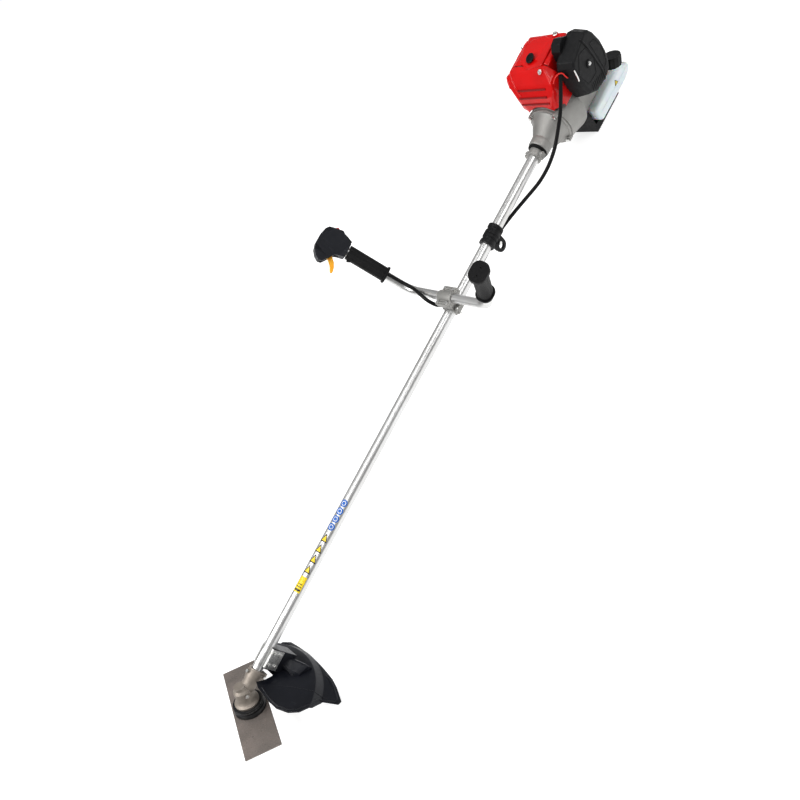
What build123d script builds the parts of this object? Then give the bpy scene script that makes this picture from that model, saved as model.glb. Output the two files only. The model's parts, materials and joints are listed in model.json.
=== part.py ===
from build123d import *
from math import atan2, cos, degrees, pi, radians, sin, tan
import os

# A petrol brush cutter: a straight tube with an angled gear head and a steel blade at the front,
# a bicycle handlebar in the middle and a small four-stroke engine at the rear.
# Lengths in millimetres. While it is built, X runs along the tube from the gear head to the engine,
# Y is the operator's right, and the origin is on the tube's axis where the tube leaves the gear case.

TUBE_RADIUS = 14.0
TUBE_WALL = 1.5
TUBE_FRONT = -35.0
TUBE_REAR = 1462.0
CLAMP_GAP = 0.03

SHAFT_ANGLE = radians(55.57)          # between the tube's axis and the spindle's axis
SPINDLE_CROSSING = -68.7              # where the two axes meet
SPINDLE_UP = Vector(cos(SHAFT_ANGLE), 0, sin(SHAFT_ANGLE))
REARWARD = Vector(sin(SHAFT_ANGLE), 0, -cos(SHAFT_ANGLE))
SIDEWAYS = Vector(0, 1, 0)
BLADE_DROP = 50.5                     # from the crossing of the axes down to the blade
BLADE_CENTRE = Vector(SPINDLE_CROSSING, 0, 0) - SPINDLE_UP * BLADE_DROP
SPINDLE_AXIS = Axis(BLADE_CENTRE, SPINDLE_UP)

BLADE_LENGTH = 305.0
BLADE_WIDTH = 90.0
BLADE_THICKNESS = 3.0
BLADE_TURN = 70.75                    # how far the blade is turned round the spindle, in degrees
SPINDLE_RADIUS = 5.0
RUNNING_GAP = 0.05

PINION_TEETH = 14
CROWN_TEETH = 19
CONE_OUTER = 22.0
CONE_INNER = 15.0

DRIVE_RADIUS = 4.0
DRIVE_FRONT = -40.0
DRIVE_REAR = 1488.0

BAR_X = 1009.3                        # where the handlebar crosses the tube
BAR_Z = 31.0
BAR_RADIUS = 11.0
BAR_WALL = 1.8
BAR_HALF_WIDTH = 140.5
BAR_BEND = 52.0
BAR_TILT = Vector(-0.029, 0.501, 0.865).normalized()
GRIP_START = 70.0
GRIP_END = 182.0

# The tool lies on two things: the guard's rear rim and the foot under the tank.
GUARD_REST = (68.0, -134.5)
FOOT_REST = (1600.0, -111.0)
FOOT_CENTRE_X = 1636.0
FLOOR_SLOPE = atan2(FOOT_REST[1] - GUARD_REST[1], FOOT_REST[0] - GUARD_REST[0])


def floor_height(x):
    """Height of the floor under a place along the tube."""
    return FOOT_REST[1] + (x - FOOT_REST[0]) * tan(FLOOR_SLOPE)


FOOT_CENTRE = Vector(FOOT_CENTRE_X, 0, floor_height(FOOT_CENTRE_X))
RESTING = Location((0, 0, 0), (0, degrees(FLOOR_SLOPE), 0)) * Location(-FOOT_CENTRE)
FLOOR = Plane(origin=FOOT_CENTRE, x_dir=(cos(FLOOR_SLOPE), 0, sin(FLOOR_SLOPE)),
              z_dir=(-sin(FLOOR_SLOPE), 0, cos(FLOOR_SLOPE)))

os.makedirs("parts", exist_ok=True)


def across(x):
    """Plane across the tube: local x is Y, local y is Z, and it faces the engine."""
    return Plane(origin=(x, 0, 0), x_dir=(0, 1, 0), z_dir=(1, 0, 0))


def upright(y):
    """Plane along the tube and upright: local x is X, local y is Z, and it faces the left side."""
    return Plane(origin=(0, y, 0), x_dir=(1, 0, 0), z_dir=(0, -1, 0))


def level(z):
    """Plane level with the tube: local x is X and local y is Y."""
    return Plane(origin=(0, 0, z), x_dir=(1, 0, 0), z_dir=(0, 0, 1))


def over_blade(height):
    """Plane across the spindle: local x runs rearward and local y is Y."""
    return Plane(origin=BLADE_CENTRE + SPINDLE_UP * height, x_dir=REARWARD, z_dir=SPINDLE_UP)


def along_spindle(sideways):
    """Plane through or beside the spindle: local x runs rearward and local y up the spindle."""
    return Plane(origin=BLADE_CENTRE + SIDEWAYS * sideways, x_dir=REARWARD, z_dir=(0, -1, 0))


def outline(plane, points, radius=0):
    """A closed straight-sided outline with rounded corners."""
    with BuildSketch(plane) as drawn:
        with BuildLine():
            Polyline(*points, close=True)
        make_face()
        if radius:
            fillet(drawn.vertices(), radius)
    return drawn.sketch


def turn(points, mode=Mode.ADD, plane=upright(0), axis=Axis.X):
    """Revolve a closed half section, points given as along and out, round an axis."""
    revolve(outline(plane, points), axis=axis, mode=mode)


def turn_head(points, mode=Mode.ADD):
    """Revolve a closed half section, points given as out and up, round the spindle."""
    turn(points, mode, along_spindle(0), SPINDLE_AXIS)


def ring(x_from, x_to, inner, outer, mode=Mode.ADD):
    """A plain ring round the tube's axis."""
    turn([(x_from, inner), (x_to, inner), (x_to, outer), (x_from, outer)], mode)


def head_ring(low, high, inner, outer, mode=Mode.ADD):
    """A plain ring round the spindle."""
    turn_head([(inner, low), (outer, low), (outer, high), (inner, high)], mode)


def rod(start, end, radius, mode=Mode.ADD):
    """A round bar from one point to another."""
    run = Vector(*end) - Vector(*start)
    with BuildSketch(Plane(origin=start, z_dir=run)) as section:
        Circle(radius)
    extrude(section.sketch, amount=run.length, mode=mode)


def screw(tip, head_end, shank, head):
    """A screw from its tip to the top of its hexagonal head, a little taller than its shank's radius."""
    run = Vector(*head_end) - Vector(*tip)
    way = run.normalized()
    head_height = shank * 1.4
    rod(tip, Vector(*head_end) - way * head_height, shank)
    with BuildSketch(Plane(origin=Vector(*head_end) - way * head_height, z_dir=way)) as section:
        RegularPolygon(head, 6)
    extrude(section.sketch, amount=head_height)


def slab(plane, points, depth, radius=0, taper=0, mode=Mode.ADD):
    """A plate with a given outline and depth."""
    extrude(outline(plane, points, radius), amount=depth, taper=taper, mode=mode)


def box(low, high, mode=Mode.ADD):
    """An upright box between two corners."""
    size = [h - l for l, h in zip(low, high)]
    middle = [(h + l) / 2 for l, h in zip(low, high)]
    with Locations(tuple(middle)):
        Box(*size, mode=mode)


def write(builder, name):
    """Lay the finished piece on the floor as the tool rests, and write it."""
    builder.part.label = name
    placed = builder.part.moved(RESTING)
    placed.label = name
    export_step(placed, f"parts/{name}.step")


# ---------------------------------------------------------------- gear head

PLUG_FOOT = BLADE_CENTRE + SPINDLE_UP * 58 - SIDEWAYS * 21

with BuildPart() as gear_case:
    turn_head([(0, 24), (31, 24), (31, 29), (25, 33), (21, 40), (21, 66), (14.5, 72), (13.5, 80.5),
               (0, 80.5)])
    turn([(-64, 0), (-64, 15), (-46, 19), (-34, 17.5), (-22, 19.5), (0, 19.5), (0, 0)])
    box((-20, -11, -28), (-3, 11, -15))
    rod((-10, 0, 15), (-10, 0, 23), 4.5)
    head_ring(28, 66, 0, 15.5, Mode.SUBTRACT)
    head_ring(65.9, 70.6, 0, 13.2, Mode.SUBTRACT)
    head_ring(20, 28.1, 0, 14, Mode.SUBTRACT)
    head_ring(70.5, 77.2, 0, 9.5, Mode.SUBTRACT)
    rod(PLUG_FOOT + SIDEWAYS * 8, PLUG_FOOT - SIDEWAYS, 3, Mode.SUBTRACT)
    ring(-60, TUBE_FRONT - 0.6, 0, 13, Mode.SUBTRACT)
    ring(TUBE_FRONT - 0.7, 1, 0, TUBE_RADIUS + CLAMP_GAP, Mode.SUBTRACT)
    box((-21, -1.2, -29), (1, 1.2, -13), Mode.SUBTRACT)
    rod((-11.5, -12, -22.5), (-11.5, 12, -22.5), 2.6, Mode.SUBTRACT)
    rod((-10, 0, 10), (-10, 0, 24), 2.6, Mode.SUBTRACT)
write(gear_case, "gear_case")

with BuildPart() as pinion_bearings:
    ring(-45.6, -40.9, 6 + RUNNING_GAP, 13)
    ring(-40.5, TUBE_FRONT - 0.8, 6 + RUNNING_GAP, 13)
write(pinion_bearings, "pinion_bearings")

with BuildPart() as spindle_bearings:
    head_ring(20.2, 27.8, 6 + RUNNING_GAP, 14)
    head_ring(70.8, 77, 3.5 + RUNNING_GAP, 9.5)
write(spindle_bearings, "spindle_bearings")

# Bevel pair: both pitch cones share their tip where the axes cross.
PINION_CONE = atan2(sin(SHAFT_ANGLE), CROWN_TEETH / PINION_TEETH + cos(SHAFT_ANGLE))
CROWN_CONE = SHAFT_ANGLE - PINION_CONE
TOOTH_CREST = 0.030                   # addendum, as an angle seen from the cone's tip
TOOTH_ROOT = 0.060                    # dedendum, the same way
TOOTH_FILL = 0.33                     # tooth thickness as a share of the pitch


def bevel_gear(way, start_way, cone, teeth, first_tooth):
    """Bevel teeth on a cone whose tip is where the axes cross and whose axis points along way."""
    tip = Vector(SPINDLE_CROSSING, 0, 0)

    def section(reach):
        """One conical slice of the gear as a toothed outline across its axis."""
        root = reach * cos(cone) * tan(cone - TOOTH_ROOT)
        crest = reach * cos(cone) * tan(cone + TOOTH_CREST)
        points = []
        for tooth in range(teeth):
            middle = 2 * pi * (tooth + first_tooth) / teeth
            half = pi / teeth
            corners = ((-1.5, root), (-0.62, crest), (0.62, crest), (1.5, root))
            for share, out in corners:
                angle = middle + share * TOOTH_FILL * half
                points.append((out * cos(angle), out * sin(angle)))
        plane = Plane(origin=tip + way * (reach * cos(cone)), x_dir=start_way, z_dir=way)
        return outline(plane, points)

    loft([section(CONE_INNER), section(CONE_OUTER)], ruled=True)


with BuildPart() as pinion:
    bevel_gear(Vector(1, 0, 0), Vector(0, 0, 1), PINION_CONE, PINION_TEETH, 0)
    ring(SPINDLE_CROSSING + CONE_OUTER * cos(PINION_CONE) - 0.5, -46.4, 0, 7.4)
    ring(-47, -28, 0, 6)
    ring(DRIVE_FRONT, -27, 0, DRIVE_RADIUS, Mode.SUBTRACT)
write(pinion, "pinion")

with BuildPart() as crown_gear:
    bevel_gear(SPINDLE_UP, Vector(sin(SHAFT_ANGLE), 0, -cos(SHAFT_ANGLE)), CROWN_CONE, CROWN_TEETH, 0.5)
    head_ring(BLADE_DROP + CONE_OUTER * cos(CROWN_CONE) - 0.5, 70.2, 0, 10.5)
    head_ring(50, 71, 0, SPINDLE_RADIUS, Mode.SUBTRACT)
write(crown_gear, "crown_gear")

with BuildPart() as output_spindle:
    turn_head([(0, -17), (4.8, -17), (4.8, 12.9), (6, 12.9), (6, 30), (SPINDLE_RADIUS, 30),
               (SPINDLE_RADIUS, 70.4), (3.5, 70.4), (3.5, 77), (0, 77)])
write(output_spindle, "output_spindle")

with BuildPart() as dust_collar:
    turn_head([(14, 15.5), (36, 14), (38.5, 16), (38.5, 18.5), (36.5, 19.2), (36.5, 20.4), (37.5, 21),
               (37.5, 23.5), (14.3, 23.9)])
    head_ring(15, 20.1, 0, 14.3, Mode.SUBTRACT)
write(dust_collar, "dust_collar")

with BuildPart() as upper_holder:
    turn_head([(4.8, 1.55), (40, 1.55), (40.5, 5), (38, 11.5), (33, 13), (24, 12), (20, 7), (11, 7),
               (11, 12.9), (4.8, 12.9)])
write(upper_holder, "upper_holder")

with BuildPart() as cutter_blade:
    with BuildSketch(over_blade(-BLADE_THICKNESS / 2)) as blade_plan:
        RectangleRounded(BLADE_LENGTH, BLADE_WIDTH, 2, rotation=BLADE_TURN)
        Circle(12.7, mode=Mode.SUBTRACT)
    extrude(amount=BLADE_THICKNESS)
    long_edges = cutter_blade.edges().filter_by(lambda edge: edge.length > BLADE_LENGTH - 10)
    chamfer(long_edges, 0.9)
write(cutter_blade, "cutter_blade")

with BuildPart() as lower_holder:
    turn_head([(4.8, -1.55), (12.6, -1.55), (12.6, -1.6), (30, -1.6), (30, -4), (22, -6.5), (15, -7),
               (4.8, -7)])
    head_ring(-1.7, 1.5, 4.8, 12.6)
write(lower_holder, "lower_holder")

with BuildPart() as blade_nut:
    with BuildSketch(over_blade(-16)) as nut_plan:
        RegularPolygon(9.8, 6)
    extrude(amount=7)
    head_ring(-9.2, -7.05, 4.8, 13)
    head_ring(-17, -7, 0, 4.8, Mode.SUBTRACT)
write(blade_nut, "blade_nut")

# ---------------------------------------------------------------- guard

GUARD_THICKNESS = 3.0
GUARD_PROFILE = [(38, 78), (62, 64), (178, 37), (192, 18), (250, 3)]
GUARD_SIDE = [(80, -20.5), (36, -20.5), (30, -36), (28, -79), (30, -107), (43, -134), (63, -150),
              (93, -156.5), (123, -150), (147, -180), (158, -177), (175, -137), (190, -85), (202, -14),
              (200, 43), (186, 84), (170, 105), (150, 88), (130, 68), (108, 50), (90, 40), (80, 30)]

with BuildPart() as guard_boss:
    box((12, -22, -75), (66, 22, -17))
    slab(Plane(origin=BLADE_CENTRE + REARWARD * 112, x_dir=SIDEWAYS, z_dir=REARWARD),
         [(-64, 30), (-52, 50), (-22, 68), (22, 68), (52, 50), (64, 30)], 28)
    turn_head([(0, -80), (260, -80), (260, 1)] + [(r, k - 1.5) for r, k in GUARD_PROFILE[::-1]] +
              [(0, 78)], Mode.SUBTRACT)

with BuildPart() as blade_guard:
    turn_head(GUARD_PROFILE + [(r, k - GUARD_THICKNESS) for r, k in GUARD_PROFILE[::-1]])
    slab(over_blade(-30), GUARD_SIDE, 160, 4, mode=Mode.INTERSECT)
    add(guard_boss.part)
    for side in (-1, 1):
        for x in (24, 54):
            rod((x, side * 30, -26), (x, side * 10, -26), 2.6, Mode.SUBTRACT)
    split(bisect_by=FLOOR, keep=Keep.TOP)
write(blade_guard, "blade_guard")

with BuildPart() as guard_saddle:
    box((12, -22, -17), (66, 22, 0))
    ring(8, 70, 0, TUBE_RADIUS + CLAMP_GAP, Mode.SUBTRACT)
    for side in (-1, 1):
        for x in (24, 54):
            rod((x, side * 30, -8), (x, side * 10, -8), 2.6, Mode.SUBTRACT)
write(guard_saddle, "guard_saddle")

STRAP_INNER = TUBE_RADIUS + 0.1
STRAP_OUTER = STRAP_INNER + 1.6

with BuildPart() as guard_strap:
    ring(14, 64, STRAP_INNER, STRAP_OUTER)
    box((10, -40, -40), (70, 40, 0), Mode.SUBTRACT)
    for side in (-1, 1):
        near, far = sorted((side * STRAP_INNER, side * 23.7))
        box((14, near, 0.1), (64, far, 1.7))
        near, far = sorted((side * 22.1, side * 23.7))
        box((14, near, -34), (64, far, 1.7))
        for x in (24, 54):
            for z in (-8, -26):
                rod((x, side * 20, z), (x, side * 30, z), 2.6, Mode.SUBTRACT)
write(guard_strap, "guard_strap")

HARNESS_X = 1197.5
HARNESS_HALF = 25.5
HARNESS_RADIUS = 20.0
EYE_CENTRE = (HARNESS_X + 1, -6, -36)
EYE_RADIUS = 8.0

# The screws of the gear case, the guard's strap and the harness clamp.
with BuildPart() as clamp_bolts:
    screw((-11.5, 14, -22.5), (-11.5, -15, -22.5), 2.5, 4.5)
    screw((-10, 0, TUBE_RADIUS + 0.1), (-10, 0, 27), 2.5, 4.2)
    screw(PLUG_FOOT + SIDEWAYS * 4, PLUG_FOOT - SIDEWAYS * 4.5, 3.0, 5.0)
    for side in (-1, 1):
        for x in (24, 54):
            for z in (-8, -26):
                screw((x, side * 15, z), (x, side * 28, z), 2.5, 4.6)
    screw((HARNESS_X, 2, -23.5), (HARNESS_X, -16, -23.5), 2.5, 4.4)
write(clamp_bolts, "clamp_bolts")

# ---------------------------------------------------------------- tube and drive shaft

with BuildPart() as shaft_tube:
    ring(TUBE_FRONT, TUBE_REAR, TUBE_RADIUS - TUBE_WALL, TUBE_RADIUS)
write(shaft_tube, "shaft_tube")

with BuildPart() as shaft_bushes:
    for x in range(120, 1421, 260):
        ring(x, x + 24, DRIVE_RADIUS + RUNNING_GAP, TUBE_RADIUS - TUBE_WALL)
write(shaft_bushes, "shaft_bushes")

with BuildPart() as drive_shaft:
    ring(DRIVE_FRONT + 0.2, DRIVE_REAR, 0, DRIVE_RADIUS)
write(drive_shaft, "drive_shaft")

with BuildPart() as harness_clamp:
    ring(HARNESS_X - HARNESS_HALF, HARNESS_X + HARNESS_HALF, TUBE_RADIUS + CLAMP_GAP, HARNESS_RADIUS - 2)
    for x in (HARNESS_X - HARNESS_HALF, HARNESS_X - 8.5, HARNESS_X + 8.5 - 8, HARNESS_X + HARNESS_HALF - 8):
        ring(x, x + 8, HARNESS_RADIUS - 3, HARNESS_RADIUS)
    with BuildSketch(upright(-3)) as eye_plan:
        with Locations((EYE_CENTRE[0], EYE_CENTRE[2])):
            Circle(16)
        with Locations((HARNESS_X, -24)):
            Rectangle(34, 18)
    extrude(amount=6)
    ring(HARNESS_X - 30, HARNESS_X + 30, 0, TUBE_RADIUS + CLAMP_GAP, Mode.SUBTRACT)
    rod((EYE_CENTRE[0], 0, EYE_CENTRE[2]), (EYE_CENTRE[0], -12, EYE_CENTRE[2]), EYE_RADIUS, Mode.SUBTRACT)
    rod((HARNESS_X, 0, -23.5), (HARNESS_X, -12, -23.5), 2.5, Mode.SUBTRACT)
write(harness_clamp, "harness_clamp")

# ---------------------------------------------------------------- handlebar


def arm_point(side, along, lift=0, ahead=0):
    """A place on an arm of the handlebar: along it, off its inner face, and along the tube."""
    tilt = Vector(BAR_TILT.X, side * BAR_TILT.Y, BAR_TILT.Z)
    ahead_way = (Vector(1, 0, 0) - tilt * tilt.X).normalized()
    lift_way = tilt.cross(ahead_way)
    return Vector(BAR_X, side * BAR_HALF_WIDTH, BAR_Z) + tilt * along + lift_way * lift + ahead_way * ahead


def arm_plane(side, along):
    """Plane across an arm: local x is its thickness way, local y runs along the tube to the engine."""
    tilt = Vector(BAR_TILT.X, side * BAR_TILT.Y, BAR_TILT.Z)
    ahead_way = (Vector(1, 0, 0) - tilt * tilt.X).normalized()
    return Plane(origin=arm_point(side, along), x_dir=ahead_way.cross(tilt), z_dir=tilt)


def arm_face(side, lift):
    """Plane along an arm: local x runs out along the arm and local y towards the engine."""
    tilt = Vector(BAR_TILT.X, side * BAR_TILT.Y, BAR_TILT.Z)
    ahead_way = (Vector(1, 0, 0) - tilt * tilt.X).normalized()
    return Plane(origin=arm_point(side, 0, lift), x_dir=tilt, z_dir=tilt.cross(ahead_way))


with BuildPart() as handlebar:
    with BuildLine() as bar_path:
        FilletPolyline(arm_point(-1, GRIP_END - 4), arm_point(-1, 0), arm_point(1, 0), arm_point(1,
                                                                                                 GRIP_END + 8),
                       radius=BAR_BEND)
    with BuildSketch(arm_plane(-1, GRIP_END - 4)) as bar_section:
        Circle(BAR_RADIUS)
        Circle(BAR_RADIUS - BAR_WALL, mode=Mode.SUBTRACT)
    sweep()
write(handlebar, "handlebar")

CLAMP_HALF_X = 25.0
CLAMP_HALF_Y = 25.0
BOLT_X = 19.0
BOLT_Y = 21.0
JOIN = 0.4

with BuildPart() as bar_clamp_base:
    box((BAR_X - 20, -15.5, -JOIN), (BAR_X + 20, 15.5, BAR_Z - JOIN))
    box((BAR_X - 21, -CLAMP_HALF_Y, -JOIN), (BAR_X + 21, CLAMP_HALF_Y, 6))
    box((BAR_X - CLAMP_HALF_X, -23, BAR_Z - 8), (BAR_X + CLAMP_HALF_X, 23, BAR_Z - JOIN))
    fillet(bar_clamp_base.edges().filter_by(Axis.Z), 2)
    ring(BAR_X - 30, BAR_X + 30, 0, TUBE_RADIUS + CLAMP_GAP, Mode.SUBTRACT)
    rod((BAR_X, -40, BAR_Z), (BAR_X, 40, BAR_Z), BAR_RADIUS + CLAMP_GAP, Mode.SUBTRACT)
    for side_x in (-1, 1):
        for side_y in (-1, 1):
            rod((BAR_X + side_x * BOLT_X, side_y * 15, BAR_Z - 12), (BAR_X + side_x * BOLT_X,
                                                                     side_y * 15, BAR_Z),
                2.6, Mode.SUBTRACT)
            rod((BAR_X + side_x * 13, side_y * BOLT_Y, -2), (BAR_X + side_x * 13, side_y * BOLT_Y, 8),
                2.6, Mode.SUBTRACT)
write(bar_clamp_base, "bar_clamp_base")

with BuildPart() as bar_clamp_cap:
    rod((BAR_X, -23, BAR_Z), (BAR_X, 23, BAR_Z), BAR_RADIUS + 4)
    box((BAR_X - CLAMP_HALF_X, -23, BAR_Z), (BAR_X + CLAMP_HALF_X, 23, BAR_Z + 6))
    box((BAR_X - 40, -40, BAR_Z - 40), (BAR_X + 40, 40, BAR_Z), Mode.SUBTRACT)
    rod((BAR_X, -40, BAR_Z), (BAR_X, 40, BAR_Z), BAR_RADIUS + CLAMP_GAP, Mode.SUBTRACT)
    for side_x in (-1, 1):
        for side_y in (-1, 1):
            rod((BAR_X + side_x * BOLT_X, side_y * 15, BAR_Z - 1), (BAR_X + side_x * BOLT_X,
                                                                    side_y * 15, BAR_Z + 9),
                2.6, Mode.SUBTRACT)
write(bar_clamp_cap, "bar_clamp_cap")

with BuildPart() as bar_clamp_under:
    ring(BAR_X - 20, BAR_X + 20, TUBE_RADIUS + CLAMP_GAP, TUBE_RADIUS + 4.5)
    box((BAR_X - 21, -CLAMP_HALF_Y, -7), (BAR_X + 21, CLAMP_HALF_Y, -JOIN - 0.6))
    box((BAR_X - 40, -40, -JOIN - 0.6), (BAR_X + 40, 40, 40), Mode.SUBTRACT)
    ring(BAR_X - 40, BAR_X + 40, 0, TUBE_RADIUS + CLAMP_GAP, Mode.SUBTRACT)
    for side_x in (-1, 1):
        for side_y in (-1, 1):
            rod((BAR_X + side_x * 13, side_y * BOLT_Y, -9), (BAR_X + side_x * 13, side_y * BOLT_Y, 0),
                2.6, Mode.SUBTRACT)
write(bar_clamp_under, "bar_clamp_under")

with BuildPart() as bar_clamp_bolts:
    for side_x in (-1, 1):
        for side_y in (-1, 1):
            x = BAR_X + side_x * BOLT_X
            screw((x, side_y * 15, BAR_Z - 11), (x, side_y * 15, BAR_Z + 9.6), 2.5, 4.4)
            x = BAR_X + side_x * 13
            screw((x, side_y * BOLT_Y, -14), (x, side_y * BOLT_Y, 9.6), 2.5, 4.4)
write(bar_clamp_bolts, "bar_clamp_bolts")


def grip_body(side, flat_end):
    """A rubber grip round an arm, with a collar at its inner end."""
    with BuildSketch(arm_plane(side, GRIP_START)) as collar:
        RectangleRounded(41, 42, 17)
    extrude(collar.sketch, amount=5)
    with BuildSketch(arm_plane(side, GRIP_START + 5)) as body:
        RectangleRounded(33, 35, 14)
    extrude(body.sketch, amount=flat_end - GRIP_START - 5)


with BuildPart() as left_grip:
    grip_body(-1, GRIP_END - 2)
    with BuildSketch(arm_plane(-1, GRIP_END - 8)) as end_plan:
        RectangleRounded(40, 47, 17)
    extrude(amount=12)
    rod(arm_point(-1, GRIP_START - 1), arm_point(-1, GRIP_END - 3.8), BAR_RADIUS + CLAMP_GAP, Mode.SUBTRACT)
    for ahead in (-9, 9):
        rod(arm_point(-1, GRIP_END + 1, 0, ahead), arm_point(-1, GRIP_END + 5, 0, ahead), 1.8,
            Mode.SUBTRACT)
write(left_grip, "left_grip")

with BuildPart() as right_grip:
    grip_body(1, GRIP_END - 2)
    rod(arm_point(1, GRIP_END - 16, 0, -15), arm_point(1, GRIP_END - 8, 0, -19), 4.5)
    rod(arm_point(1, GRIP_START - 1), arm_point(1, GRIP_END), BAR_RADIUS + CLAMP_GAP, Mode.SUBTRACT)
write(right_grip, "right_grip")

# ---------------------------------------------------------------- throttle case

CASE_SIDE = [(182.3, 18), (205, 30), (213, 35.5), (231, 32), (248, 27), (254, 19), (259, 0), (260, -22),
             (256, -37), (247, -49), (236, -56), (227, -54), (217, -40), (207, -25.5), (197, -21.5),
             (182.3, -18)]
CASE_HALF = 15.0
TRIGGER_PIVOT = (222, -22)
TRIGGER_SIDE = [(228, -16), (229, -28), (224, -38), (214, -43), (205, -52), (197, -66), (193, -66.5),
                (191.5, -63), (193.5, -52), (199, -41), (207, -33), (212, -26), (216, -17)]
LOCK_PIVOT = (206, 21)
LOCK_SIDE = [(203, 17), (209, 17), (212, 24), (207, 34.5), (196, 31.5), (182, 26), (183, 22.5), (196, 24.5)]
SWITCH_SIDE = [(214, 30), (232, 28), (231.5, 35), (228, 39), (222, 36.5), (215.5, 38.5)]


def case_shell(face_out):
    """Half of the throttle case, open towards the other half."""
    low, high = sorted((0, face_out * CASE_HALF))
    slab(arm_face(1, 0).offset(low), CASE_SIDE, high - low, 3)
    open_low, open_high = sorted((0, face_out * (CASE_HALF - 2.5)))
    with BuildSketch(arm_face(1, 0).offset(open_low)) as inside:
        add(outline(Plane.XY, CASE_SIDE, 3))
        offset(amount=-2.5, mode=Mode.REPLACE)
    extrude(inside.sketch, amount=open_high - open_low, mode=Mode.SUBTRACT)
    rod(arm_point(1, 170), arm_point(1, GRIP_END + 8.4), BAR_RADIUS + CLAMP_GAP, Mode.SUBTRACT)


def moving_gap(points, half):
    """Room through the case's edge for a lever."""
    with BuildSketch(arm_face(1, 0).offset(-half)) as room:
        add(outline(Plane.XY, points))
        offset(amount=1.2, mode=Mode.REPLACE)
    extrude(room.sketch, amount=2 * half, mode=Mode.SUBTRACT)


TRIGGER_ROOM = [(232, -12), (233, -60), (186, -62), (200, -14)]
LOCK_ROOM = [(200, 14), (214, 14), (213, 40), (180, 34), (178, 15.5)]
SWITCH_ROOM = [(213.5, 28), (239, 26), (240, 42), (213.5, 42)]


def finish_case_half():
    """Cut the lever openings that both halves share."""
    moving_gap(TRIGGER_ROOM, 5.5)
    moving_gap(LOCK_ROOM, 4.5)
    moving_gap(SWITCH_ROOM, 5.5)


def case_pins(grow, mode=Mode.ADD):
    """The two hinge pins, or the holes they sit in."""
    for along, ahead in (TRIGGER_PIVOT, LOCK_PIVOT):
        rod(arm_point(1, along, -CASE_HALF + 1, ahead), arm_point(1, along, CASE_HALF - 1, ahead),
            1.5 + grow, mode)


CASE_SCREWS = ((194.5, -15.5), (248, 8), (240, -44))


def case_screw_holes(mode, radius):
    """Places of the screws that hold the two halves together."""
    for along, ahead in CASE_SCREWS:
        rod(arm_point(1, along, -CASE_HALF + 2, ahead), arm_point(1, along, CASE_HALF + 1, ahead),
            radius, mode)


def case_half(face_out):
    """One finished half of the throttle case."""
    case_shell(face_out)
    for along, ahead in CASE_SCREWS:
        near, far = sorted((0, face_out * (CASE_HALF - 1)))
        rod(arm_point(1, along, near, ahead), arm_point(1, along, far, ahead), 3.4)
    finish_case_half()
    for along, ahead in (TRIGGER_PIVOT, LOCK_PIVOT):
        near, far = sorted((face_out * 6.5, face_out * (CASE_HALF - 1)))
        rod(arm_point(1, along, near, ahead), arm_point(1, along, far, ahead), 3.2)
    rod(arm_point(1, 170), arm_point(1, GRIP_END + 8.4), BAR_RADIUS + CLAMP_GAP, Mode.SUBTRACT)
    case_pins(0, Mode.SUBTRACT)
    case_screw_holes(Mode.SUBTRACT, 1.6)


with BuildPart() as throttle_case_front:
    case_half(1)
write(throttle_case_front, "throttle_case_front")

with BuildPart() as throttle_case_rear:
    case_half(-1)
write(throttle_case_rear, "throttle_case_rear")

with BuildPart() as throttle_fasteners:
    case_pins(0)
    for along, ahead in CASE_SCREWS:
        rod(arm_point(1, along, -CASE_HALF + 2, ahead), arm_point(1, along, CASE_HALF, ahead), 1.6)
        rod(arm_point(1, along, CASE_HALF, ahead), arm_point(1, along, CASE_HALF + 1.6, ahead), 3)
write(throttle_fasteners, "throttle_fasteners")

with BuildPart() as throttle_trigger:
    slab(arm_face(1, 0).offset(-4.5), TRIGGER_SIDE, 9, 1.2)
    rod(arm_point(1, TRIGGER_PIVOT[0], -6, TRIGGER_PIVOT[1]), arm_point(1, TRIGGER_PIVOT[0], 6,
                                                                        TRIGGER_PIVOT[1]), 3.6)
    rod(arm_point(1, TRIGGER_PIVOT[0], -8, TRIGGER_PIVOT[1]), arm_point(1, TRIGGER_PIVOT[0], 8,
                                                                        TRIGGER_PIVOT[1]),
        1.5 + RUNNING_GAP, Mode.SUBTRACT)
write(throttle_trigger, "throttle_trigger")

with BuildPart() as lockout_lever:
    slab(arm_face(1, 0).offset(-3.5), LOCK_SIDE, 7, 0.8)
    rod(arm_point(1, LOCK_PIVOT[0], -5, LOCK_PIVOT[1]), arm_point(1, LOCK_PIVOT[0], 5, LOCK_PIVOT[1]), 3.2)
    rod(arm_point(1, LOCK_PIVOT[0], -8, LOCK_PIVOT[1]), arm_point(1, LOCK_PIVOT[0], 8, LOCK_PIVOT[1]),
        1.5 + RUNNING_GAP, Mode.SUBTRACT)
write(lockout_lever, "lockout_lever")

with BuildPart() as stop_switch:
    slab(arm_face(1, 0).offset(-4.5), SWITCH_SIDE, 9, 0.8)
write(stop_switch, "stop_switch")

# ---------------------------------------------------------------- clutch and engine

CASE_FRONT = 1439.1
CASE_REAR = 1510.0
HUB_RADIUS = 11.0
ENGINE_JOIN = 1560.0
CYLINDER_X = 1600.0
BORE = 19.6
BOLT_CIRCLE = 52.5
BOLT_ANGLES = (45, 135, 225, 315)


def flange_point(x, angle):
    """A place on the clutch case's bolt circle."""
    return (x, BOLT_CIRCLE * cos(radians(angle)), BOLT_CIRCLE * sin(radians(angle)))


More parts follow.
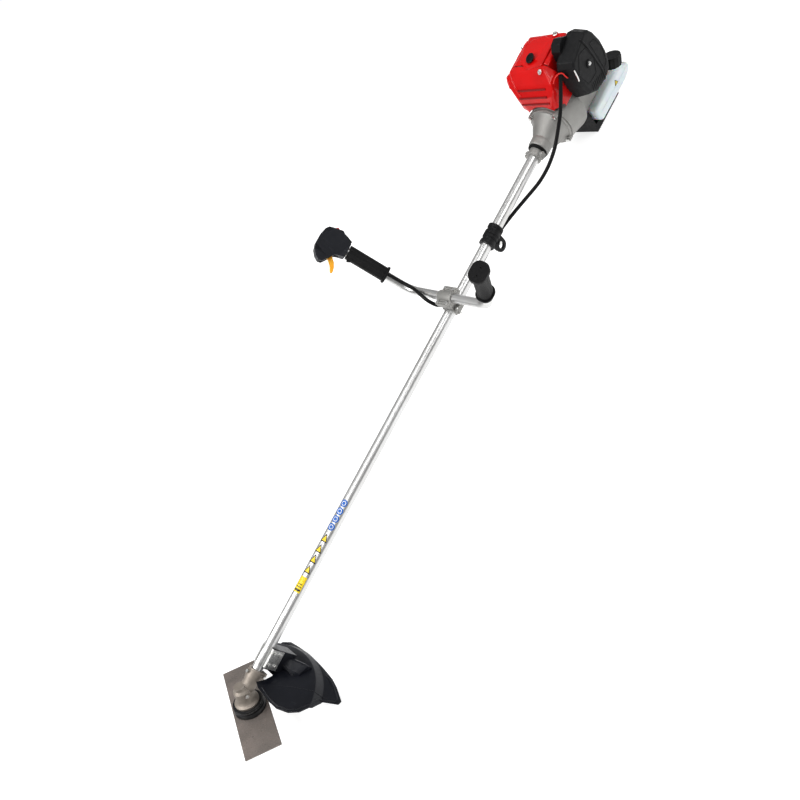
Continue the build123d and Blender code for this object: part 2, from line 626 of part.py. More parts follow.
with BuildPart() as tube_collar:
    ring(1416, 1433.4, TUBE_RADIUS + CLAMP_GAP, 19)
    for side in (-1, 1):
        near, far = sorted((side * 16, side * 26))
        box((1417, near, -6.5), (1432, far, 6.5))
    ring(1410, 1436, 0, TUBE_RADIUS + CLAMP_GAP, Mode.SUBTRACT)
    for side in (-1, 1):
        rod((1424.5, side * 21.8, -8), (1424.5, side * 21.8, 8), 2.1, Mode.SUBTRACT)
write(tube_collar, "tube_collar")

with BuildPart() as rubber_ring:
    turn([(1433.5, 15), (1433.5, 22.5), (1435, 24.5), (1437.6, 24.5), (1439, 22.5), (1439, 15)])
write(rubber_ring, "rubber_ring")

with BuildPart() as clutch_case:
    turn([(CASE_FRONT, TUBE_RADIUS + CLAMP_GAP), (CASE_FRONT, 25.2), (1441, 26.5), (1459, 27), (1461, 26),
          (1504, 49), (1504, 55), (CASE_REAR, 55), (CASE_REAR, 47), (1504, 45), (1490, 38.5), (1487, 20),
          (1482, 18), (1482, HUB_RADIUS), (TUBE_REAR + 0.6, HUB_RADIUS),
          (TUBE_REAR + 0.6, TUBE_RADIUS + CLAMP_GAP)])
    for angle in BOLT_ANGLES:
        rod(flange_point(1499, angle), flange_point(CASE_REAR, angle), 7)
    turn([(1490, 0), (1490, 38.5), (1504, 45), (1512, 47), (1512, 0)], Mode.SUBTRACT)
    for angle in BOLT_ANGLES:
        rod(flange_point(1495, angle), flange_point(1512, angle), 2.6, Mode.SUBTRACT)
write(clutch_case, "clutch_case")

with BuildPart() as clutch_drum:
    turn([(1464.5, 0), (1464.5, HUB_RADIUS - RUNNING_GAP), (1482, HUB_RADIUS - RUNNING_GAP), (1482, 9),
          (1491, 9), (1491, 36), (1508, 36), (1508, 33.5), (1493.5, 33.5), (1493.5, 0)])
    ring(1460, DRIVE_REAR + 0.2, 0, DRIVE_RADIUS, Mode.SUBTRACT)
write(clutch_drum, "clutch_drum")

with BuildPart() as clutch_shoes:
    ring(1496, 1507.5, 15, 31.5)
    box((1490, -4, -40), (1512, 4, 40), Mode.SUBTRACT)
    for side in (-1, 1):
        rod((1490, side * 23, 0), (1512, side * 23, 0), 3, Mode.SUBTRACT)
write(clutch_shoes, "clutch_shoes")

with BuildPart() as flywheel:
    turn([(1511, 7.5), (1511, 14), (1515, 16), (1515, 50), (1519, 50), (1519, 18), (1538, 16), (1538, 7.5)])
    for vane in range(12):
        angle = 2 * pi * vane / 12
        start = (1526, 24 * cos(angle), 24 * sin(angle))
        end = (1526, 49 * cos(angle + 0.25), 49 * sin(angle + 0.25))
        run = Vector(*end) - Vector(*start)
        with BuildSketch(Plane(origin=start, x_dir=(1, 0, 0), z_dir=run)) as vane_section:
            Rectangle(18, 2.2)
        extrude(amount=run.length)
    for side in (-1, 1):
        rod((1496, side * 23, 0), (1516, side * 23, 0), 3)
write(flywheel, "flywheel")

THROW = 14.0

with BuildPart() as crankshaft:
    ring(1494.5, 1511, 0, 7)
    ring(1511, 1560, 0, 7.5)
    ring(1556, 1574, 0, 10)
    ring(1626, 1642, 0, 10)
    ring(1642, 1653, 0, 8)
    for x in (1574, 1618):
        with BuildSketch(across(x)) as web:
            Circle(30)
            with Locations((-30, THROW), (30, THROW)):
                Rectangle(26, 40, mode=Mode.SUBTRACT)
        extrude(amount=8)
    rod((1574, 0, THROW), (1626, 0, THROW), 7)
write(crankshaft, "crankshaft")

with BuildPart() as crankcase:
    turn([(1510.1, 47.2), (1510.1, 57), (1526, 60), (1556, 68), (1563, 68), (1563, 10.05), (1556.5, 10.05),
          (1556.5, 62), (1526, 56.5), (1514.4, 53.5), (1514.4, 47.2)])
    for angle in BOLT_ANGLES:
        rod(flange_point(1510.1, angle), flange_point(1526, angle), 6)
    turn([(1514.4, 0), (1514.4, 53.5), (1526, 56.5), (1556.5, 62), (1556.5, 0)], Mode.SUBTRACT)
    with BuildSketch(across(1562)) as block:
        with Locations((0, -3)):
            RectangleRounded(86, 94, 14)
    extrude(amount=78)
    ring(1566.5, 1633.5, 0, 34.5, Mode.SUBTRACT)
    ring(1555, 1645, 0, 10.05, Mode.SUBTRACT)
    rod((CYLINDER_X, 0, 20), (CYLINDER_X, 0, 60), BORE + 4, Mode.SUBTRACT)
    box((1516, -38, 24), (1556, 38, 80), Mode.SUBTRACT)
    for angle in BOLT_ANGLES:
        rod(flange_point(1505, angle), flange_point(1522, angle), 2.5, Mode.SUBTRACT)
write(crankcase, "crankcase")

with BuildPart() as cylinder:
    rod((CYLINDER_X, 0, 44.2), (CYLINDER_X, 0, 112), 25)
    for step in range(8):
        with BuildSketch(level(52 + 7.4 * step)) as fin:
            with Locations((CYLINDER_X, 0)):
                RectangleRounded(70, 66, 10)
        extrude(amount=2.2)
    box((1578, -24, 106), (1622, 24, 126))
    rod((CYLINDER_X, -20, 62), (CYLINDER_X, -40.3, 62), 10)
    rod((CYLINDER_X, 20, 84), (CYLINDER_X, 38, 84), 10)
    rod((CYLINDER_X, 0, 40), (CYLINDER_X, 0, 100), BORE, Mode.SUBTRACT)
    rod((CYLINDER_X, 0, 62), (CYLINDER_X, -45, 62), 6, Mode.SUBTRACT)
    rod((CYLINDER_X, 0, 84), (CYLINDER_X, 45, 84), 6, Mode.SUBTRACT)
write(cylinder, "cylinder")

with BuildPart() as piston:
    rod((CYLINDER_X, 0, 68), (CYLINDER_X, 0, 97), BORE - RUNNING_GAP)
    rod((CYLINDER_X, 0, 66), (CYLINDER_X, 0, 92), BORE - 3, Mode.SUBTRACT)
    rod((CYLINDER_X, -17.5, 80), (CYLINDER_X, 17.5, 80), 4.5)
write(piston, "piston")

with BuildPart() as spark_plug:
    rod((1622.1, 0, 118.3), (1629, 0, 118.3), 6)
    with BuildSketch(across(1625)) as plug_hex:
        with Locations((0, 118.3)):
            RegularPolygon(9, 6)
    extrude(amount=5)
    rod((1630, 0, 118.3), (1640, 0, 118.3), 4.5)
    rod((1634, 0, 118.3), (1643, 0, 118.3), 7)
write(spark_plug, "spark_plug")

CHOKE_PIVOT = (1600.0, 88.0)

with BuildPart() as carburettor:
    box((1582, -62, 46), (1618, -40.5, 80))
    box((1592, -54.9, 78), (1608, -50, 94))
    rod((CHOKE_PIVOT[0], -54, CHOKE_PIVOT[1]), (CHOKE_PIVOT[0], -59.8, CHOKE_PIVOT[1]), 2)
    rod((1589, -47, 79), (1589, -47, 90), 5)
    rod((1618, -51, 70), (1626, -51, 70), 5)
    rod((CYLINDER_X, -70, 62), (CYLINDER_X, -30, 62), 6, Mode.SUBTRACT)
    rod((1600, -51, 40), (1600, -51, 56), 7.2, Mode.SUBTRACT)
write(carburettor, "carburettor")

with BuildPart() as primer_bulb:
    rod((1600, -51, 47), (1600, -51, 52), 7)
    rod((1600, -51, 41), (1600, -51, 47.5), 6.4)
    fillet(primer_bulb.edges().sort_by(Axis.Z)[0], 3)
write(primer_bulb, "primer_bulb")

AIR_SIDE = [(1562, 132), (1553, 118), (1551, 90), (1552, 62), (1558, 30), (1586, 10), (1606, 8), (1632, 8),
            (1650, 16), (1660, 34), (1665, 56), (1665, 88), (1657, 120), (1648, 137), (1630, 148)]
HORN_SIDE = [(1580, 116), (1582, 142), (1592, 154), (1606, 157), (1619, 148), (1622, 116)]
HORN_ROOM = [(1584, 110), (1586, 139), (1594, 149), (1605, 152), (1615, 144), (1618, 110)]
AIR_BACK = -67.3
AIR_FACE = -106.0

with BuildPart() as air_box:
    with BuildSketch(upright(-62.3)) as air_plate:
        add(outline(Plane.XY, AIR_SIDE, 5))
        offset(amount=-1, mode=Mode.REPLACE)
    extrude(amount=4.7)
    slab(upright(-42), HORN_SIDE, 25, 3)
    slab(upright(-40), HORN_ROOM, 24, 3, mode=Mode.SUBTRACT)
    rod((CYLINDER_X, -60, 62), (CYLINDER_X, -70, 62), 6, Mode.SUBTRACT)
write(air_box, "air_box")

with BuildPart() as air_cover:
    slab(upright(AIR_BACK), AIR_SIDE, AIR_BACK - AIR_FACE, 9, 9)
    front_edges = air_cover.faces().sort_by(Axis.Y)[0].edges()
    fillet(front_edges, 7)
    with BuildSketch(upright(AIR_BACK)) as air_inside:
        add(outline(Plane.XY, AIR_SIDE, 9))
        offset(amount=-2.5, mode=Mode.REPLACE)
    extrude(amount=AIR_BACK - AIR_FACE - 4, taper=11, mode=Mode.SUBTRACT)
write(air_cover, "air_cover")

CHOKE_SIDE = [(1594, 82), (1606, 82), (1606, 94), (1603.5, 102), (1606, 105), (1606, 113), (1594, 113),
              (1594, 105), (1596.5, 102), (1594, 94)]

with BuildPart() as choke_lever:
    slab(upright(-55.2), CHOKE_SIDE, 3.4, 1.5)
    rod((CHOKE_PIVOT[0], -50, CHOKE_PIVOT[1]), (CHOKE_PIVOT[0], -62, CHOKE_PIVOT[1]), 2 + RUNNING_GAP,
        Mode.SUBTRACT)
write(choke_lever, "choke_lever")

with BuildPart() as muffler:
    box((1568, 38.5, 46), (1632, 82, 106))
    fillet(muffler.edges(), 7)
    rod((1632, 68, 62), (1638, 68, 62), 7)
    box((1570.5, 41, 48.5), (1629.5, 79.5, 103.5), Mode.SUBTRACT)
    rod((1626, 68, 62), (1642, 68, 62), 5, Mode.SUBTRACT)
write(muffler, "muffler")

COWL_FRONT = [(-60, 32), (-61.5, 76), (-54, 112), (-34, 133), (15, 144), (58, 141), (84, 124),
              (96, 96), (101, 60), (100, 30)]
COWL_SIDE = [(1507, 20), (1508, 56), (1513, 84), (1526, 110), (1548, 133), (1582, 146), (1630, 146),
             (1648, 131), (1655, 104), (1657, 60), (1657, 20)]
COWL_TOP = [(1507, -34), (1514, -52), (1530, -62), (1657, -62), (1657, 50), (1640, 84), (1600, 101),
            (1562, 98), (1532, 82), (1514, 58), (1507, 36)]


def cowl_body(inset):
    """The cowl's outside, or with an inset its inside, as three outlines that cross."""
    with BuildSketch(across(1500)) as front_view:
        add(outline(Plane.XY, COWL_FRONT, 14))
        offset(amount=-inset, mode=Mode.REPLACE)
    extrude(front_view.sketch, amount=230)
    with BuildSketch(upright(120)) as side_view:
        add(outline(Plane.XY, COWL_SIDE, 12))
        offset(amount=-inset, mode=Mode.REPLACE)
    extrude(side_view.sketch, amount=240, mode=Mode.INTERSECT)
    with BuildSketch(level(-40)) as top_view:
        add(outline(Plane.XY, COWL_TOP, 12))
        offset(amount=-inset, mode=Mode.REPLACE)
    extrude(top_view.sketch, amount=220, mode=Mode.INTERSECT)


COWL_WALL = 2.6
COVER_SIDE_Y = -37.6

with BuildPart() as cowl_room:
    cowl_body(COWL_WALL)
    box((1510, -58.5, 0), (1654, 97.5, 50))
    box((1645, -100, 0), (1720, 200, 50))
    turn([(1500, 0), (1500, 60.3), (1513, 60.3), (1526, 61.2), (1556, 68.4), (1600, 68.4), (1600, 0)])

with BuildPart() as cover_room:
    add(cowl_room.part)
    box((1400, -100, 50), (1800, COVER_SIDE_Y + COWL_WALL, 200), Mode.SUBTRACT)

with BuildPart() as fan_cowl:
    cowl_body(0)
    add(cowl_room.part, mode=Mode.SUBTRACT)
    box((ENGINE_JOIN, -100, -100), (1800, 200, 200), Mode.SUBTRACT)
write(fan_cowl, "fan_cowl")

with BuildPart() as top_cover:
    cowl_body(0)
    box((1400, -100, -100), (ENGINE_JOIN + 0.3, 200, 200), Mode.SUBTRACT)
    box((1400, -100, -100), (1800, COVER_SIDE_Y, 200), Mode.SUBTRACT)
    add(cover_room.part, mode=Mode.SUBTRACT)
    ring(1550, 1563.4, 0, 68.4, Mode.SUBTRACT)
    rod((CYLINDER_X, -50, 62), (CYLINDER_X, -30, 62), 11, Mode.SUBTRACT)
write(top_cover, "top_cover")

TANK_SIDE = [(1590, -72), (1597, -93), (1716, -93), (1738, -86), (1746, -73), (1738, -61),
             (1708, -50.4), (1592, -50.4)]
TANK_HALF = 60.0
TANK_WALL = 3.0
CAP_WAY = Vector(0.35, -0.15, 0.92).normalized()
CAP_BASE = Vector(1717, -38, -48.5)
CAP_RADIUS = 22.7
CAP_HEIGHT = 25.0

with BuildPart() as tank_room:
    with BuildSketch(upright(TANK_HALF - TANK_WALL)) as room_side:
        add(outline(Plane.XY, TANK_SIDE, 9))
        offset(amount=-TANK_WALL, mode=Mode.REPLACE)
    extrude(amount=2 * (TANK_HALF - TANK_WALL))

with BuildPart() as fuel_tank:
    slab(upright(TANK_HALF), TANK_SIDE, 2 * TANK_HALF, 9)
    fillet(fuel_tank.faces().filter_by(Axis.Y).edges(), 8)
    rod(CAP_BASE - CAP_WAY * 14, CAP_BASE + CAP_WAY * 11, 18)
    rod(CAP_BASE - CAP_WAY * 12, CAP_BASE, 22)
    add(tank_room.part, mode=Mode.SUBTRACT)
    rod(CAP_BASE - CAP_WAY * 22, CAP_BASE + CAP_WAY * 20, 15.5, Mode.SUBTRACT)
write(fuel_tank, "fuel_tank")

with BuildPart() as fuel_cap:
    rod(CAP_BASE + CAP_WAY * 0.3, CAP_BASE + CAP_WAY * CAP_HEIGHT, CAP_RADIUS - 1.2)
    cap_plane = Plane(origin=CAP_BASE + CAP_WAY * 0.3, z_dir=CAP_WAY)
    with BuildSketch(cap_plane) as ribs:
        with PolarLocations(CAP_RADIUS - 2, 14):
            Circle(2)
    extrude(amount=CAP_HEIGHT - 4)
    rod(CAP_BASE, CAP_BASE + CAP_WAY * 12, 18.3, Mode.SUBTRACT)
write(fuel_cap, "fuel_cap")

STAND_HALF = 42.0
STAND_SIDE = [(1580, -128), (1686, -128), (1694, -93.4), (1586, -93.4), (1586, -50.4), (1566, -50.4),
              (1566, -56), (1580, -60)]

with BuildPart() as tank_stand:
    slab(upright(STAND_HALF), STAND_SIDE, 2 * STAND_HALF, 2)
    split(bisect_by=FLOOR, keep=Keep.TOP)
write(tank_stand, "tank_stand")

ROPE_HEIGHT = 21.9
ROPE_X = 1665.0

with BuildPart() as recoil_housing:
    turn([(1640.2, 30), (1640.2, 48), (1680, 48), (1690, 38), (1690, 0), (1686.5, 0), (1686.5, 36),
          (1678, 44.5), (1644, 44.5), (1644, 30)])
    ring(1654, 1687, 0, 5)
    rod((ROPE_X, 35, ROPE_HEIGHT), (ROPE_X, 50, ROPE_HEIGHT), 6)
    turn([(1644, 0), (1644, 44.5), (1654, 44.5), (1654, 0)], Mode.SUBTRACT)
    rod((ROPE_X, 30, ROPE_HEIGHT), (ROPE_X, 52, ROPE_HEIGHT), 2.6, Mode.SUBTRACT)
    ring(1655, 1677, 5, 44, Mode.SUBTRACT)
write(recoil_housing, "recoil_housing")

with BuildPart() as recoil_pulley:
    turn([(1657, 5 + RUNNING_GAP), (1657, 26), (1662.7, 26), (1662.7, 19.5), (1667.3, 19.5), (1667.3, 26),
          (1673, 26), (1673, 5 + RUNNING_GAP)])
write(recoil_pulley, "recoil_pulley")

with BuildPart() as recoil_handle:
    rod((ROPE_X, -34, ROPE_HEIGHT), (ROPE_X, 53, ROPE_HEIGHT), 2)
    rod((1651, 57, ROPE_HEIGHT), (1683, 57, ROPE_HEIGHT), 6.5)
    fillet(recoil_handle.edges().filter_by(GeomType.CIRCLE).filter_by(lambda edge: edge.radius == 6.5), 2)
write(recoil_handle, "recoil_handle")

CONDUIT_RADIUS = 4.5
CONDUIT_ROUTE = [(1546, -73, 113), (1520, -72, 83), (1497, -68, 54), (1471, -60, 27), (1443, -52, 1),
                 (1407, -43, -17), (1370, -34, -24), (1336, -23, -24), (1300, -9, -25), (1262, 4, -26),
                 (1222, 12, -25.5), (1180, 13, -25), (1136, 10, -24), (1090, 10, -24), (1048, 24, -24),
                 (1012, 38, -14), (992, 42, 8), (988, 54, 34), (996, 78, 49), (1005, 104, 50),
                 (1008, 127, 57), (1008.5, 142, 71), (1008, 152.5, 86.5), (1007.3, 160.4, 99.3)]


def route_radii(route):
    """The largest corner radii that the runs of a route leave room for."""
    radii = []
    for before, at, after in zip(route, route[1:], route[2:]):
        come = Vector(*at) - Vector(*before)
        go = Vector(*after) - Vector(*at)
        turn_angle = radians(come.get_angle(go))
        radii.append(0.45 * min(come.length, go.length) / tan(turn_angle / 2))
    return radii


def cable(route, radius):
    """A round cable that follows a route of straight runs joined by arcs."""
    with BuildLine() as path:
        FilletPolyline(*route, radius=route_radii(route))
    with BuildSketch(Plane(origin=route[0], z_dir=Vector(*route[1]) - Vector(*route[0]))) as section:
        Circle(radius)
    sweep(section.sketch, path=path.line)
    return sum(edge.length for edge in path.line.edges())


with BuildPart() as throttle_conduit:
    conduit_length = cable(CONDUIT_ROUTE, CONDUIT_RADIUS)
write(throttle_conduit, "throttle_conduit")
print("conduit", round(conduit_length), "mm, smallest bend", round(min(route_radii(CONDUIT_ROUTE))), "mm,",
      "volume ratio", round(throttle_conduit.part.volume / (pi * CONDUIT_RADIUS ** 2 * conduit_length), 4))

FUEL_LINE_RADIUS = 1.6
FUEL_LINE_ROUTE = [(1527, -62.5, 111), (1529, -70, 122), (1538, -78, 126.5), (1547, -81, 119),
                   (1549, -82, 106), (1552, -82, 98)]

with BuildPart() as fuel_line:
    fuel_line_length = cable(FUEL_LINE_ROUTE, FUEL_LINE_RADIUS)
write(fuel_line, "fuel_line")

with BuildPart() as engine_screws:
    for angle in BOLT_ANGLES:
        screw(flange_point(1521, angle), flange_point(1494.5, angle), 2.5, 4.6)
    for side in (-1, 1):
        screw((1424.5, side * 21.8, -9), (1424.5, side * 21.8, 10), 2.1, 3.8)
write(engine_screws, "engine_screws")
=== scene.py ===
import bmesh
import bpy
import json
from math import cos, pi, radians, sin
from mathutils import Matrix, Vector
from mathutils.bvhtree import BVHTree


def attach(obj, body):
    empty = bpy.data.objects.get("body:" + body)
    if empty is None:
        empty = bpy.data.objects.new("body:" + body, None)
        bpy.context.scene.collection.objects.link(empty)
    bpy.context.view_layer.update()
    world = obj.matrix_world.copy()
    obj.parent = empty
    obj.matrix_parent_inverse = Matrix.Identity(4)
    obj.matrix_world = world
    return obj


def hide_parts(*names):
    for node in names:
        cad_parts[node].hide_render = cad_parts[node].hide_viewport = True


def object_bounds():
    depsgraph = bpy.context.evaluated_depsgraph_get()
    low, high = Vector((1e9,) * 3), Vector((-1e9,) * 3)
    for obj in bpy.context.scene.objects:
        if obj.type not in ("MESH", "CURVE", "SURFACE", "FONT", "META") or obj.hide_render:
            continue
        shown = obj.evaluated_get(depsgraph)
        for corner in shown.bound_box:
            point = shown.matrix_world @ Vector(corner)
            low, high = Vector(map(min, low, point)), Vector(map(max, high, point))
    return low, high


# A petrol brush cutter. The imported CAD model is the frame; this script gives every piece its finish,
# and adds the mouldings, stickers and seams that only the looks need. Lengths are in metres.

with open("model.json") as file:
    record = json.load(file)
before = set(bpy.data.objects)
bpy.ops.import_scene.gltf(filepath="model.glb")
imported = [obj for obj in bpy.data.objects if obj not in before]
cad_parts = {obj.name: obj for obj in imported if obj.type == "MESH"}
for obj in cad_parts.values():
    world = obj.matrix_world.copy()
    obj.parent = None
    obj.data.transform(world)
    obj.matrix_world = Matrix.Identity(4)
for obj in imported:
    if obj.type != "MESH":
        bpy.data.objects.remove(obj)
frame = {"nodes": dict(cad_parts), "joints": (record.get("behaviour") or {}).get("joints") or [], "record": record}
cad_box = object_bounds()
nodes = frame["nodes"]
joints = {joint["name"]: joint for joint in frame["joints"]}
scene = bpy.context.scene

# The tube's own frame: along the drive shaft, to the operator's right, and up from the tube.
ALONG = Vector(joints["drive_spin"]["axis"]).normalized()
SIDE = Vector((0, 1, 0))
UP = ALONG.cross(SIDE)
TUBE_START = Vector(joints["drive_spin"]["pos_m"]) - ALONG * 0.7
TUBE_RADIUS = 0.014


def at(along, side, up):
    """A place given in the tube's frame."""
    return TUBE_START + ALONG * along + SIDE * side + UP * up


# ------------------------------------------------------------------ camera, floor and light

CAMERA_PLACE = (0.47126, -1.39020, 1.23531)
CAMERA_RIGHT = (0.47526, -0.63488, -0.60914)
CAMERA_VIEW = (0.01496, 0.69806, -0.71588)
LENS = 34.34
SHIFT = (-0.0041, 0.1422)


def make_camera():
    """The camera, placed and turned in the tube's frame."""
    def way(along, side, up):
        return (ALONG * along + SIDE * side + UP * up).normalized()

    right = way(*CAMERA_RIGHT)
    view = way(*CAMERA_VIEW)
    right = (right - view * right.dot(view)).normalized()
    above = right.cross(view)
    camera = bpy.data.objects.new("camera", bpy.data.cameras.new("camera"))
    scene.collection.objects.link(camera)
    camera.data.sensor_width = 36.0
    camera.data.lens = LENS
    camera.data.shift_x, camera.data.shift_y = SHIFT
    camera.data.clip_start = 0.05
    camera.data.clip_end = 60.0
    camera.matrix_world = Matrix.Translation(at(*CAMERA_PLACE)) @ Matrix(
        (right, above, -view)).transposed().to_4x4()
    scene.camera = camera


def area_light(name, place, aim, size, watts):
    """A rectangular lamp at a place, turned towards another."""
    data = bpy.data.lights.new(name, "AREA")
    data.shape = "RECTANGLE"
    data.size = size[0]
    data.size_y = size[1]
    data.energy = watts
    light = bpy.data.objects.new(name, data)
    scene.collection.objects.link(light)
    light.location = place
    light.rotation_mode = "QUATERNION"
    light.rotation_quaternion = (Vector(aim) - Vector(place)).to_track_quat("-Z", "Y")


def make_sky(tree):
    """A soft white dome that darkens towards the horizon, which gives round things their dark flanks."""
    place = tree.nodes.new("ShaderNodeTexCoord")
    parts = tree.nodes.new("ShaderNodeSeparateXYZ")
    tree.links.new(place.outputs["Generated"], parts.inputs[0])
    height = tree.nodes.new("ShaderNodeMapRange")
    height.inputs["From Min"].default_value = 0.05
    height.inputs["From Max"].default_value = 0.85
    height.inputs["To Min"].default_value = 0.16
    height.inputs["To Max"].default_value = 0.62
    tree.links.new(parts.outputs["Z"], height.inputs["Value"])
    tree.nodes["Background"].inputs[0].default_value = (1, 1, 1, 1)
    tree.links.new(height.outputs["Result"], tree.nodes["Background"].inputs[1])


def make_studio():
    """A pale paper floor, three lamps and the dome."""
    low, high = cad_box
    middle = (low + high) / 2
    mesh = bpy.data.meshes.new("floor")
    reach = 30.0
    corners = [(-reach, -reach), (reach, -reach), (reach, reach), (-reach, reach)]
    mesh.from_pydata([(middle.x + x, middle.y + y, low.z) for x, y in corners], [], [(0, 1, 2, 3)])
    floor = bpy.data.objects.new("floor", mesh)
    scene.collection.objects.link(floor)
    paper = bpy.data.materials.new("studio_paper")
    paper.use_nodes = True
    shader = paper.node_tree.nodes["Principled BSDF"]
    shader.inputs["Base Color"].default_value = (0.5, 0.5, 0.5, 1)
    shader.inputs["Emission Color"].default_value = (1, 1, 1, 1)
    shader.inputs["Emission Strength"].default_value = 0.76
    shader.inputs["Roughness"].default_value = 0.9
    shader.inputs["Specular IOR Level"].default_value = 0.1
    mesh.materials.append(paper)
    world = bpy.data.worlds.new("studio")
    scene.world = world
    world.use_nodes = True
    make_sky(world.node_tree)
    area_light("key", middle + Vector((-1.6, 0.5, 2.7)), middle, (1.8, 1.8), 62)
    area_light("fill", middle + Vector((1.7, -2.0, 2.0)), middle, (1.2, 1.2), 22)
    area_light("strip", middle + Vector((0.3, -0.3, 2.8)), middle, (3.4, 0.35), 22)
    scene.view_settings.view_transform = "Standard"
    scene.view_settings.exposure = 0.0
    scene.view_settings.gamma = 0.86


# ------------------------------------------------------------------ materials

class Finish:
    """One procedural material, built up from a Principled shader."""

    def __init__(self, name, colour, roughness, metallic=0.0, **sockets):
        self.material = bpy.data.materials.new(name)
        self.material.use_nodes = True
        self.tree = self.material.node_tree
        self.shader = self.tree.nodes["Principled BSDF"]
        self.shader.inputs["Base Color"].default_value = (*colour, 1)
        self.shader.inputs["Roughness"].default_value = roughness
        self.shader.inputs["Metallic"].default_value = metallic
        for socket, value in sockets.items():
            self.shader.inputs[socket.replace("_", " ")].default_value = value
        self.colour = None
        self.height = None
        self.base = colour
        self.rough = roughness
        self.place = self.node("ShaderNodeTexCoord").outputs["Object"]

    def node(self, kind, **settings):
        made = self.tree.nodes.new(kind)
        for name, value in settings.items():
            setattr(made, name, value)
        return made

    def link(self, source, target):
        self.tree.links.new(source, target)

    def stretched(self, scale):
        mapping = self.node("ShaderNodeMapping")
        mapping.inputs["Scale"].default_value = scale
        self.link(self.place, mapping.inputs["Vector"])
        return mapping.outputs["Vector"]

    def noise(self, scale, detail=3.0, stretch=None, roughness=0.55):
        texture = self.node("ShaderNodeTexNoise")
        texture.inputs["Scale"].default_value = scale
        texture.inputs["Detail"].default_value = detail
        texture.inputs["Roughness"].default_value = roughness
        self.link(self.stretched(stretch) if stretch else self.place, texture.inputs["Vector"])
        return texture.outputs["Fac"]

    def cells(self, scale, feature="F1"):
        texture = self.node("ShaderNodeTexVoronoi", feature=feature)
        texture.inputs["Scale"].default_value = scale
        self.link(self.place, texture.inputs["Vector"])
        return texture.outputs["Distance"]

    def ramp(self, value, low, high, start=0.0, end=1.0):
        mapped = self.node("ShaderNodeMapRange")
        mapped.inputs["From Min"].default_value = low
        mapped.inputs["From Max"].default_value = high
        mapped.inputs["To Min"].default_value = start
        mapped.inputs["To Max"].default_value = end
        self.link(value, mapped.inputs["Value"])
        return mapped.outputs["Result"]

    def product(self, one, other):
        made = self.node("ShaderNodeMath", operation="MULTIPLY")
        self.link(one, made.inputs[0])
        if isinstance(other, float):
            made.inputs[1].default_value = other
        else:
            self.link(other, made.inputs[1])
        return made.outputs[0]

    def tint(self, mask, colour):
        """Where the mask is 1 the surface has this colour."""
        mix = self.node("ShaderNodeMix", data_type="RGBA")
        self.link(mask, mix.inputs[0])
        if self.colour is None:
            mix.inputs[6].default_value = (*self.base, 1)
        else:
            self.link(self.colour, mix.inputs[6])
        mix.inputs[7].default_value = (*colour, 1)
        self.colour = mix.outputs[2]
        self.link(self.colour, self.shader.inputs["Base Color"])
        return self

    def gloss(self, mask, roughness):
        """Where the mask is 1 the surface has this roughness."""
        mix = self.node("ShaderNodeMix", data_type="FLOAT")
        self.link(mask, mix.inputs[0])
        source = self.shader.inputs["Roughness"]
        if source.is_linked:
            self.link(source.links[0].from_socket, mix.inputs[2])
        else:
            mix.inputs[2].default_value = self.rough
        mix.inputs[3].default_value = roughness
        self.link(mix.outputs[0], source)
        return self

    def bump(self, height, depth):
        """Relief of this depth in metres, on top of any relief already there."""
        made = self.node("ShaderNodeBump")
        made.inputs["Distance"].default_value = depth
        made.inputs["Strength"].default_value = 1.0
        self.link(height, made.inputs["Height"])
        normal = self.shader.inputs["Normal"]
        if normal.is_linked:
            self.link(normal.links[0].from_socket, made.inputs["Normal"])
        self.link(made.outputs["Normal"], normal)
        return self

    def edges(self, radius):
        """1 at the sharp edges and 0 on the faces."""
        rounded = self.node("ShaderNodeBevel", samples=4)
        rounded.inputs["Radius"].default_value = radius
        flat = self.node("ShaderNodeNewGeometry")
        dot = self.node("ShaderNodeVectorMath", operation="DOT_PRODUCT")
        self.link(rounded.outputs["Normal"], dot.inputs[0])
        self.link(flat.outputs["Normal"], dot.inputs[1])
        return self.ramp(dot.outputs["Value"], 0.995, 0.9)

    def worn(self, radius, colour, breakup=120.0, amount=1.0):
        """Rubbed edges, broken up by noise."""
        patches = self.ramp(self.noise(breakup, 4.0), 0.42, 0.62)
        return self.tint(self.product(self.product(self.edges(radius), patches), amount), colour)


def drawn_alloy():
    """Satin drawn tube: fine lines along it, a little haze and a few scuffs."""
    made = Finish("drawn_alloy", (0.70, 0.70, 0.695), 0.30, 0.92, Anisotropic=0.35)
    lines = made.noise(900.0, 2.0, stretch=(0.02, 1.0, 1.0))
    made.gloss(made.ramp(lines, 0.3, 0.7), 0.42)
    made.tint(made.ramp(made.noise(7.0, 4.0), 0.35, 0.75), (0.64, 0.635, 0.625))
    scuffs = made.ramp(made.noise(55.0, 6.0, stretch=(0.25, 1.0, 1.0), roughness=0.7), 0.66, 0.72)
    made.tint(made.product(scuffs, 0.35), (0.50, 0.50, 0.50))
    made.bump(lines, 0.00004)
    return made.material


def cast_alloy(name="cast_alloy", colour=(0.38, 0.375, 0.36)):
    """Bead-blasted casting: grainy, a little uneven, rubbed bright at the edges."""
    made = Finish(name, colour, 0.48, 0.55)
    made.tint(made.ramp(made.noise(22.0, 5.0), 0.35, 0.7), tuple(part * 0.80 for part in colour))
    grain = made.noise(1500.0, 3.0)
    made.gloss(made.ramp(grain, 0.3, 0.7), 0.62)
    made.bump(made.noise(260.0, 4.0), 0.00016)
    made.bump(grain, 0.00008)
    made.worn(0.0011, (0.82, 0.81, 0.79), 90.0, 0.8)
    return made.material


def gear_alloy():
    """The gear head's warmer casting."""
    return cast_alloy("gear_alloy", (0.36, 0.32, 0.28))


